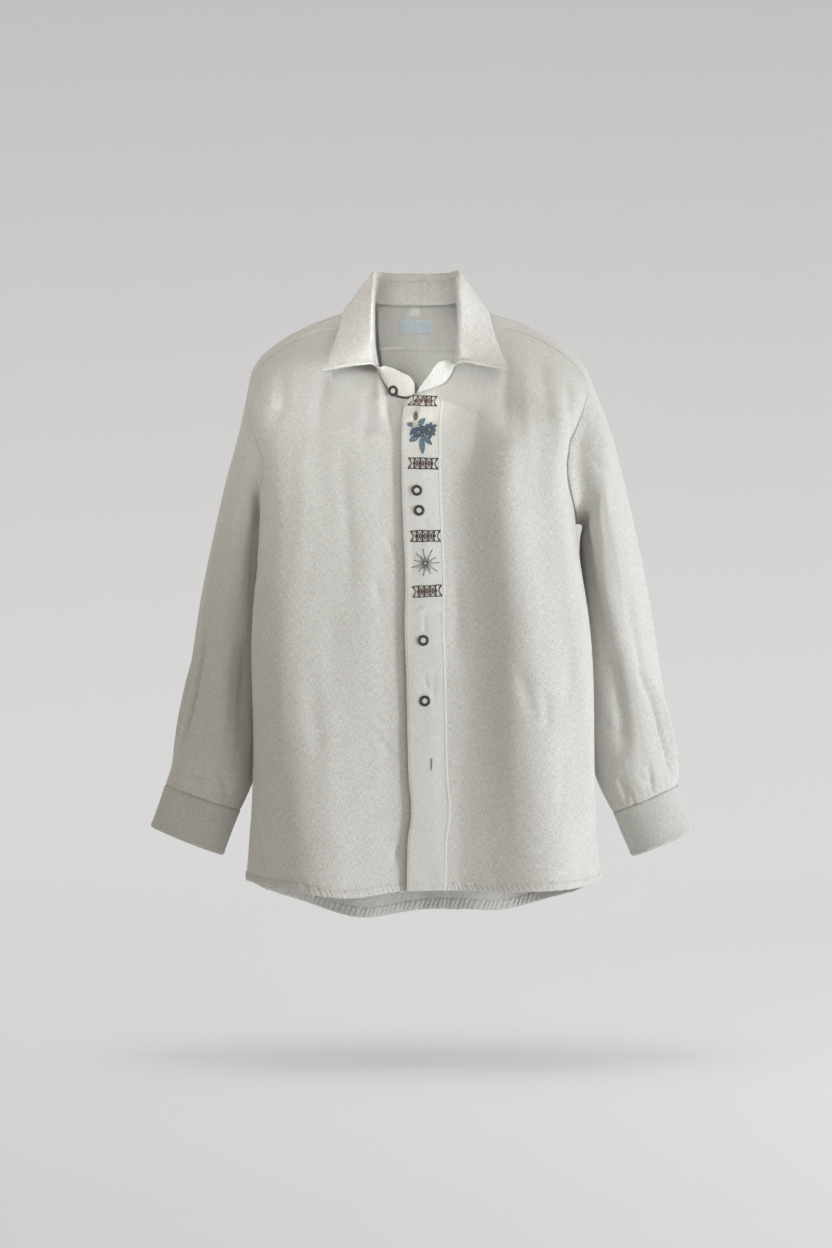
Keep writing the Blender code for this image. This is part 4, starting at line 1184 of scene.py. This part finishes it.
LINEN = linen("linen", (0.675, 0.668, 0.635), (0.485, 0.465, 0.42))
LINEN_BAND = linen("linen_band", (0.69, 0.685, 0.65), (0.56, 0.545, 0.50), fleck=0.8)
LINEN_CUFF = linen("linen_cuff", (0.60, 0.595, 0.565), (0.43, 0.42, 0.39), fleck=1.0)
LINEN_HEM = linen("linen_hem", (0.68, 0.67, 0.635), (0.50, 0.48, 0.435))
THREAD = plain_material("sewing_thread", (0.60, 0.57, 0.51), 0.6, 0.4, 0.2, 0.15)
SEAM_THREAD = plain_material("seam_thread", (0.30, 0.27, 0.225), 0.6, 0.4, 0.2, 0.15)
LABEL = linen("label_weave", (0.60, 0.65, 0.67), (0.47, 0.52, 0.55), weave=0.4, fleck=0.6)
TAB = linen("tab_weave", (0.76, 0.77, 0.75), (0.66, 0.67, 0.66), weave=0.4, fleck=0.6)
HORN = plain_material("dark_horn", (0.035, 0.030, 0.026), 0.28, 0.6, 0.0, 0.35, 260.0)
PEARL = plain_material("pale_centre", (0.60, 0.60, 0.56), 0.45, 0.5, 0.0, 0.08, 500.0)


# Buttons

def spun(name, profile, place, outward, material, sides=40):
    """A turned piece: profile points are (radius, height) from its middle outwards, in metres."""
    outward = Vector(outward)
    turn = Matrix.Translation(Vector(place)) @ outward.to_track_quat("Z", "Y").to_matrix().to_4x4()
    vertices, faces = [], []
    for radius, level in profile:
        for k in range(sides):
            a = 2 * math.pi * k / sides
            vertices.append(turn @ Vector((radius * math.cos(a), radius * math.sin(a), level)))
    for i in range(len(profile) - 1):
        for k in range(sides):
            n = (k + 1) % sides
            faces.append((i * sides + k, i * sides + n, (i + 1) * sides + n, (i + 1) * sides + k))
    faces.append(tuple(range(sides))[::-1])
    faces.append(tuple((len(profile) - 1) * sides + k for k in range(sides)))
    return mesh_object(name, vertices, faces, material)


def ring_button(name, node, place, outward):
    """A dark rounded ring round a pale dished centre."""
    radius, height = BUTTON_RADIUS, BUTTON_HEIGHT
    rim = []
    for step in range(13):
        a = math.pi * step / 12
        rim.append((radius * (0.735 - 0.265 * math.cos(a)), height * (0.42 + 0.58 * math.sin(a))))
    profile = [(radius * 0.40, height * 0.30), *rim, (radius * 0.97, height * 0.12), (radius * 0.86, 0.0)]
    ring = spun(name, profile, place, outward, HORN)
    ride(ring, "button", node)
    dish = [(radius * 0.02, height * 0.50), (radius * 0.28, height * 0.53), (radius * 0.44, height * 0.62),
            (radius * 0.50, height * 0.55), (radius * 0.50, height * 0.28)]
    ride(spun(name + "_centre", dish, place, outward, PEARL), "button")


def seat_on(points, thickness, x, z):
    """Place and outward direction on a panel's face, seen from the front at sideways place x, height z."""
    normals = grid_normals(points)
    facing = normals[..., 1] < 0
    away = np.hypot(points[..., 0] - x, points[..., 2] - z) + np.where(facing, 0, 1)
    spot = np.unravel_index(np.argmin(away), away.shape)
    i, j = (int(np.clip(k, 1, n - 2)) for k, n in zip(spot, away.shape))
    block = points[i - 1:i + 2, j - 1:j + 2].reshape(-1, 3)
    directions = normals[i - 1:i + 2, j - 1:j + 2].reshape(-1, 3)
    near = 1 / (np.hypot(block[:, 0] - x, block[:, 2] - z) + 1e-5) ** 2
    near = near / near.sum()
    return near @ block + unit(near @ directions) * thickness / 2, unit(near @ directions)


# Embroidery: plain satin and stem stitches on the placket, in millimetres seen from the front

def on_face(points, x, z):
    """Places and normals on a panel's face, seen from the front at sideways places x and heights z."""
    normals = grid_normals(points)
    seen = normals[..., 1] < -0.2
    flat, outward = points[seen], normals[seen]
    places, directions = [], []
    for one_x, one_z in zip(x, z):
        k = np.argmin((flat[:, 0] - one_x) ** 2 + (flat[:, 2] - one_z) ** 2)
        n = outward[k]
        y = flat[k, 1] - (n[0] * (one_x - flat[k, 0]) + n[2] * (one_z - flat[k, 2])) / n[1]
        places.append((one_x, y, one_z))
        directions.append(n)
    return np.array(places), np.array(directions)


def polar(centre, away, angle):
    """The place at a distance and an angle from a centre."""
    return (centre[0] + away * math.cos(angle), centre[1] + away * math.sin(angle))


STROKES = {}  # colour word: list of (x, z, end x, end z, radius, layer)


def stroke(colour, start, end, radius=0.4, layer=0):
    STROKES.setdefault(colour, []).append((*start, *end, radius, layer))


def stem(colour, points, radius=0.42, layer=0, pitch=2.4):
    """A line of overlapping stitches through the given points."""
    points = np.array(points, float)
    length = lengths_along(points)
    count = max(int(round(length[-1] / pitch)), 1)
    for k in range(count):
        at = np.array([k, k + 1.25]) / count * length[-1]
        ends = [(np.interp(a, length, points[:, 0]), np.interp(a, length, points[:, 1])) for a in at]
        stroke(colour, *ends, radius, layer)


def filled_leaf(base, tip, half_width, inner, outer, layer=1, bow=0.0):
    """A pointed leaf of slanting satin stitches either side of its midrib, with a darker outline."""
    base, tip = np.array(base, float), np.array(tip, float)
    along = tip - base
    long = np.linalg.norm(along)
    across = np.array([-along[1], along[0]]) / long

    def rib(s):
        return base + along * s + across * bow * math.sin(math.pi * min(s, 1.0))

    def edge(s, side):
        s = min(s, 1.0)
        return rib(s) + across * side * half_width * math.sin(math.pi * s ** 0.8) ** 0.75

    count = max(int(long / 0.62), 4)
    for side in (-1, 1):
        for k in range(count):
            s = k / count
            stroke(inner, rib(s), edge(s + 0.16, side), 0.36, layer + 0.3 * (k % 2))
        stem(outer, [edge(s, side) for s in np.linspace(0.03, 1.0, 9)], 0.34, layer + 1, 1.9)


def knots(colour, centre, radius, count, size=0.5, layer=3):
    """A cluster of small knots."""
    for k in range(count):
        away = radius * math.sqrt(k / count)
        x, z = polar(centre, away, 2.4 * k)
        stroke(colour, (x - 0.35, z), (x + 0.35, z), size, layer)


def blossom(centre, petals, reach, half_width, turn, inner, outer, layer=2):
    """A flower of pointed petals, uneven in length."""
    for k in range(petals):
        a = math.radians(turn + 360 * k / petals)
        long = reach * (1 + 0.16 * math.sin(2.1 * k + 1))
        filled_leaf(polar(centre, 0.9, a), polar(centre, long, a), half_width, inner, outer, layer)


def ribbon(centre, width, height, tilt, dark, red, seed, lean=0.0):
    """A woven-looking border with forked ends: two edge lines, diamonds, crosses and small teeth."""
    random = np.random.default_rng(seed)

    def spot(u, v):
        x = u * width / 2 + lean * v * (u < 0)
        z = v * height / 2 + random.uniform(-0.12, 0.12)
        a = math.radians(tilt)
        return (centre[0] + x * math.cos(a) - z * math.sin(a), centre[1] + x * math.sin(a) + z * math.cos(a))

    for v in (-1, 1):
        rail = [spot(u, v * (1.0 + 0.05 * math.sin(5 * u + seed))) for u in np.linspace(-1, 1, 9)]
        stem(dark, rail, 0.62, 1)
        for end in (-1, 1):
            stem(dark, [spot(end, v), spot(end * 0.86, v * 0.55), spot(end * 0.76, 0)], 0.52, 1.3)
            stroke(dark, spot(end * 0.93, v * 0.96), spot(end * 0.8, v * 0.5), 0.45, 1.6)
        for u in (-0.56, -0.19, 0.19, 0.56):
            for k in (-1, 0, 1):
                root = spot(u + 0.045 * k, v * 0.98)
                stroke(dark, root, spot(u + 0.015 * k, v * (0.62 - 0.1 * abs(k))), 0.5, 1.5)
    for cell, u in enumerate((-0.57, -0.19, 0.19, 0.57)):
        colour = (red, dark)[(cell + seed) % 2]
        for v in np.linspace(-0.46, 0.46, 7):
            reach = 0.13 * (1 - abs(v) / 0.62)
            stroke(colour, spot(u - reach, v), spot(u + reach, v), 0.55, 1.8)
    for u in (-0.38, 0.0, 0.38):
        stroke(red, spot(u - 0.1, -0.76), spot(u + 0.1, 0.76), 0.52, 2.0)
        stroke(dark, spot(u - 0.1, 0.76), spot(u + 0.1, -0.76), 0.52, 2.3)


def starburst(centre, rays, reach, colour, seed):
    """Thin rays of uneven length from one middle, with short ones between."""
    random = np.random.default_rng(seed)
    for k in range(rays):
        a = 2 * math.pi * (k + random.uniform(-0.22, 0.22)) / rays
        long = reach * (random.uniform(0.72, 1.0) if k % 2 == 0 else random.uniform(0.42, 0.68))
        end = polar(centre, long, a)
        stem(colour, [polar(centre, 1.2, a), end], 0.44 if k % 2 == 0 else 0.34, 1 + 0.2 * (k % 3), 2.8)
        if k % 4 == 0:
            knots(colour, end, 0.3, 2, 0.5, 1.5)


def embroider():
    ribbon((2.0, -126.0), 35, 12.6, -2, "bark", "rust", 1, lean=3.2)
    ribbon((1.3, -206.2), 39, 13.6, -1, "bark", "rust", 2)
    ribbon((4.2, -298.8), 39, 13.4, 0.5, "bark", "umber", 3)
    ribbon((6.5, -369.0), 38, 13.8, 3, "umber", "rust", 4)
    starburst((4.0, -333.5), 22, 19.0, "grey", 5)
    filled_leaf((-11.6, -157.4), (-19.4, -155.6), 2.6, "slate", "ink")
    filled_leaf((-5.6, -158.0), (4.2, -148.4), 3.2, "teal", "ink")
    filled_leaf((-10.4, -160.0), (-15.8, -170.4), 2.2, "slate", "ink", bow=0.8)
    filled_leaf((-5.4, -173.6), (-16.4, -178.0), 3.3, "teal", "ink", bow=-0.8)
    filled_leaf((2.4, -172.0), (12.4, -182.6), 2.8, "teal", "ink")
    filled_leaf((-0.6, -172.6), (0.8, -194.4), 3.4, "teal", "slate")
    blossom((-4.6, -166.4), 7, 8.6, 2.6, 12, "slate", "ink", 2.2)
    knots("cream", (-4.6, -166.4), 1.2, 5, 0.42, 4.4)
    blossom((9.0, -163.6), 9, 10.2, 2.3, 36, "slate", "ink", 3.4)
    knots("gold", (9.0, -163.6), 2.1, 12, 0.5, 5.6)
    blossom((-8.8, -155.4), 7, 3.4, 1.2, 0, "cream", "cream", 3.6)
    knots("gold", (-8.8, -155.4), 0.5, 3, 0.4, 5.2)
    filled_leaf((-8.7, -151.4), (-7.4, -139.6), 2.6, "olive", "bark", 2.4)


COLOURS = {
    "bark": (0.030, 0.021, 0.016), "umber": (0.060, 0.034, 0.025), "rust": (0.12, 0.048, 0.032),
    "slate": (0.085, 0.125, 0.175), "teal": (0.125, 0.205, 0.235), "ink": (0.035, 0.043, 0.058),
    "gold": (0.46, 0.31, 0.10), "cream": (0.60, 0.55, 0.43), "olive": (0.17, 0.13, 0.075),
    "grey": (0.12, 0.12, 0.117), "linen": (0.5, 0.48, 0.42), "shadow": (0.10, 0.09, 0.075),
}


def buttonhole(x, z, long):
    """A stitched slit: two rows of close bars either side of it."""
    for k in range(int(long / 0.62)):
        level = z - long / 2 + 0.62 * k
        for side in (-1, 1):
            stroke("linen", (x + side * 0.35, level), (x + side * 1.7, level), 0.34, 0.4)
    stem("shadow", [(x, z - long / 2 + 0.8), (x, z + long / 2 - 0.8)], 0.3, 0.2, 16)


# The shirt

left_front = front_panel(1)
right_front = front_panel(-1)
back = back_panel()
yoke = yoke_panel()
band = placket()
stand = collar_stand()
leaf = collar_leaf()
sleeves = {side: sleeve(side) for side in (1, -1)}
cuffs = {side: cuff_band(side) for side in (1, -1)}

ride(cloth("front_left_cloth", left_front, LINEN_THICK, LINEN), "linen", "front_left")
ride(
    cloth("front_right_cloth", right_front, LINEN_THICK, LINEN, flip=True), "linen", "front_right"
)
ride(cloth("back_cloth", back, LINEN_THICK, LINEN), "linen", "back")
ride(cloth("yoke_cloth", yoke, LINEN_THICK, LINEN), "linen", "yoke")
ride(cloth("placket_cloth", band, BAND_THICK, LINEN_BAND), "placket_linen", "placket")
ride(cloth("stand_cloth", stand, COLLAR_THICK, LINEN), "linen", "collar_stand")
ride(cloth("leaf_cloth", leaf, COLLAR_THICK, LINEN), "linen", "collar_leaf")
for side, word in ((1, "left"), (-1, "right")):
    ride(
        cloth(f"sleeve_{word}_cloth", sleeves[side], LINEN_THICK, LINEN, ring=True, flip=side > 0),
        "linen", f"sleeve_{word}",
    )
    ride(
        cloth(f"cuff_{word}_cloth", cuffs[side], COLLAR_THICK, LINEN_CUFF, flip=side > 0),
        "linen", f"cuff_{word}",
    )
label = patch_inside_yoke(LABEL_CENTRE, LABEL_SIZE, 40, 16)
tab = patch_inside_yoke(TAB_CENTRE, TAB_SIZE, 12, 9)
ride(cloth("label_cloth_piece", label, LABEL_THICK, LABEL), "label_cloth", "neck_label")
ride(cloth("tab_cloth_piece", tab, LABEL_THICK, TAB), "label_cloth", "size_tab")

embroider()
buttonhole(11.7, -589.5, 16.0)
for word, marks in STROKES.items():
    x, z, end_x, end_z, radius, layer = np.array(marks).T * MM
    starts, normals = on_face(band[0], x, z)
    ends, _ = on_face(band[0], end_x, end_z)
    lift = normals * (BAND_THICK / 2 + layer * 0.16)[:, None]
    material = plain_material(f"thread_{word}", COLOURS[word], 0.55, 0.4, 0.25, 0.22, 1400.0)
    ride(threads(f"embroidery_{word}", starts + lift, ends + lift, normals, radius, material), "thread")

left_hem = angle_at(np.array([33 * MM]), np.array([0.0]))[0]
right_hem = edge_angle(RIGHT_EDGE, np.array([0.0]))[0]
hem_left, *left_lines = hem_strip("hem_front_left", left_hem, 89.9)
hem_right, *right_lines = hem_strip("hem_front_right", right_hem, -89.9, behind=True)
hem_back, *back_lines = hem_strip("hem_back", 90.1, 269.9)
side_rows = slice(0, len(BELOW))
hole_rows = slice(len(BELOW), len(BELOW) + 59)
yoke_rows = slice(len(BELOW) + 60, None)
seams = [*left_lines, *right_lines, *back_lines]
for panel, out in ((left_front, 1), (right_front, -1)):
    seams.append(line_on(panel[0], LINEN_THICK, out, column=-3, span=side_rows))
    seams.append(line_on(panel[0], LINEN_THICK, out, column=-4, span=hole_rows))
seams.append(line_on(yoke[0], LINEN_THICK, column=2))
seams.append(line_on(yoke[0], LINEN_THICK, column=-3))
ROW_SEAMS = (  # grid, thickness, face, row, first and last column
    (yoke, LINEN_THICK, 1, 2, 27, -27),
    (stand, COLLAR_THICK, 1, 2, 4, -4),
    (yoke, LINEN_THICK, -1, 2, 27, -27),
    (stand, COLLAR_THICK, -1, 2, 4, -4),
    (stand, COLLAR_THICK, -1, -4, 40, -40),
    (stand, COLLAR_THICK, 1, -3, 2, 34),
    (stand, COLLAR_THICK, 1, -3, -34, -2),
    (leaf, COLLAR_THICK, -1, -4, 2, -2),
)
for (points, _), thickness, out, row, first, last in ROW_SEAMS:
    seams.append(line_on(points, thickness, out, row=row, span=slice(first, last)))
for column in (2, -3):
    seams.append(line_on(leaf[0], COLLAR_THICK, -1, column=column, span=slice(2, -2)))
seams.append(line_on(band[0], BAND_THICK, column=3))
seams.append(line_on(band[0], BAND_THICK, row=5, span=slice(3, -3)))
for side in (1, -1):
    normals = tube_normals(sleeves[side][0])
    seams.append(line_on(sleeves[side][0], LINEN_THICK, column=-2, normals=normals, span=slice(3, -3)))
    points = cuffs[side][0]
    out = 1 if np.sum(grid_normals(points)[5, 20] * (points[5, 20] - points.mean(axis=(0, 1)))) > 0 else -1
    for row in (2, -4):
        seams.append(line_on(points, COLLAR_THICK, out, row=row, span=slice(2, -2)))
ride(stitches("topstitching", seams, THREAD), "thread")
stitched_yoke = [
    line_on(panel[0], LINEN_THICK, out, column=-2, span=yoke_rows)
    for panel, out in ((left_front, 1), (right_front, -1))
]
stitched_yoke.append(line_on(band[0], BAND_THICK, column=-4))
ride(stitches("yoke_seam_stitching", stitched_yoke, SEAM_THREAD), "thread")
label_ends = []
for grid in (label[0], tab[0]):
    label_ends += [line_on(grid, LABEL_THICK, -1, column=column) for column in (1, -2)]
ride(stitches("label_stitching", label_ends, THREAD, 1.6 * MM, 0.18 * MM), "thread")

place, outward = seat_on(stand[0], COLLAR_THICK, STAND_BUTTON[0] * MM, STAND_BUTTON[1] * MM)
ring_button("ring_button_1", "button_1", place, outward)
for number, (x, z) in enumerate(BUTTONS, 2):
    place, outward = seat_on(band[0], BAND_THICK, x * MM, z * MM)
    ring_button(f"ring_button_{number}", f"button_{number}", place, outward)
for side, word in ((1, "left"), (-1, "right")):
    points = cuffs[side][0]
    row, column = len(points) // 2, points.shape[1] - 9
    across = points[row, column + 2] - points[row, column - 2]
    down = points[row + 2, column] - points[row - 2, column]
    place = points[row, column]
    normal = unit(np.cross(across, down))
    if np.dot(normal, place - points.reshape(-1, 3).mean(axis=0)) < 0:
        normal = -normal
    ring_button(f"cuff_ring_{word}", f"cuff_button_{word}", place + normal * COLLAR_THICK / 2, normal)

# The studio: a pale seamless sweep of paper that glows with painted light (brighter farther back along the
# floor, dimmer higher up the wall), a soft key from the right, a soft fill, a lamp overhead and two small
# lamps on the collar and in the neck

FLOOR_Z = -0.982
FLOOR_PAINTED_LIGHT = (-1.2, 2.8, 0.15, 0.285)  # from this Y to this Y, glow of the paper: painted light, rising farther back
WALL_PAINTED_SHADE = (-0.8, 1.1, 0.0, -0.14)  # from this Z to this Z, what is added to it: painted shade, the glow dimmer higher up


def studio():
    start, radius = 2.6, 5.5
    profile = [(-9.0, 0.0)]
    bend = np.linspace(0, math.pi / 2, 40)
    profile += [(start + radius * math.sin(a), radius - radius * math.cos(a)) for a in bend]
    profile.append((start + radius, 12.0))
    vertices = [(x, y, FLOOR_Z + z) for y, z in profile for x in (-12.0, 12.0)]
    faces = [(2 * i, 2 * i + 1, 2 * i + 3, 2 * i + 2) for i in range(len(profile) - 1)]
    paper = plain_material("studio_paper", (0.785, 0.80, 0.82), 0.95, 0.0, 0.0, 0.0, 4.0)
    nodes, links = paper.node_tree.nodes, paper.node_tree.links
    place = nodes.new("ShaderNodeTexCoord")
    part = nodes.new("ShaderNodeSeparateXYZ")
    links.new(place.outputs["Object"], part.inputs["Vector"])
    glow = nodes.new("ShaderNodeMath")
    for slot, (axis, stops) in enumerate((("Y", FLOOR_PAINTED_LIGHT), ("Z", WALL_PAINTED_SHADE))):
        reach = nodes.new("ShaderNodeMapRange")
        links.new(part.outputs[axis], reach.inputs["Value"])
        for name, value in zip(("From Min", "From Max", "To Min", "To Max"), stops):
            socket(reach, name, value)
        links.new(reach.outputs["Result"], glow.inputs[slot])
    shader = nodes["Principled BSDF"]
    # The paper glows though it is no lamp: painted light, brighter farther back and dimmer higher up.
    links.new(glow.outputs["Value"], shader.inputs["Emission Strength"])
    socket(shader, "Emission Color", (0.985, 1.005, 1.07, 1))
    sweep = mesh_object("studio_sweep", vertices, faces, paper)


def area_light(name, place, target, size, energy, colour=(1, 1, 1), spread=180):
    lamp = bpy.data.lights.new(name, "AREA")
    lamp.shape = "DISK"
    lamp.size = size
    lamp.energy = energy
    lamp.color = colour
    lamp.spread = math.radians(spread)
    light = bpy.data.objects.new(name, lamp)
    light.location = place
    light.rotation_euler = (Vector(target) - Vector(place)).to_track_quat("-Z", "Y").to_euler()
    bpy.context.scene.collection.objects.link(light)


# Power of each lamp in watts, then the strength of the light from all round.
KEY, FILL, OVERHEAD, COLLAR, NECK, AIR = 76, 15, 11, 0.12, 0.06, 0.43
studio()
area_light("key", (3.1, -1.6, -0.45), (0, 0, -0.42), 0.9, KEY, (0.93, 1.0, 1.09))
area_light("fill", (2.1, -3.6, 0.0), (0, 0, -0.4), 2.2, FILL, (1.0, 1.0, 0.98))
area_light("overhead", (0.0, -0.1, 2.3), (0, 0, -0.4), 1.3, OVERHEAD)
area_light("collar", (-1.0, -2.3, 0.75), (-0.1, 0, -0.16), 0.3, COLLAR, (0.95, 1.0, 1.05), 14)
area_light("neck", (-0.2, -3.9, 0.1), (-0.008, 0, -0.045), 0.06, NECK, (0.98, 1.0, 1.0), 4.5)
world = bpy.data.worlds.new("studio_air")
world.use_nodes = True
world.node_tree.nodes["Background"].inputs["Color"].default_value = (1.0, 0.925, 0.81, 1)
world.node_tree.nodes["Background"].inputs["Strength"].default_value = AIR
bpy.context.scene.world = world
bpy.context.scene.view_settings.view_transform = "Standard"

TARGET = (-0.0078, 0.0, -0.4147)
DISTANCE = 6.0
ELEVATION = math.radians(2.0)
FRAME_HEIGHT = 1.6224  # metres that the picture's height covers at the target
camera = bpy.data.objects.new("camera", bpy.data.cameras.new("camera"))
camera.location = (
    TARGET[0], TARGET[1] - DISTANCE * math.cos(ELEVATION), TARGET[2] + DISTANCE * math.sin(ELEVATION)
)
camera.rotation_euler = (math.pi / 2 - ELEVATION, 0, 0)
camera.data.sensor_fit = "VERTICAL"
camera.data.sensor_height = 24.0
camera.data.lens = 24.0 * DISTANCE / FRAME_HEIGHT
camera.data.clip_end = 60.0
camera.data.dof.use_dof = False
bpy.context.scene.collection.objects.link(camera)
bpy.context.scene.camera = camera
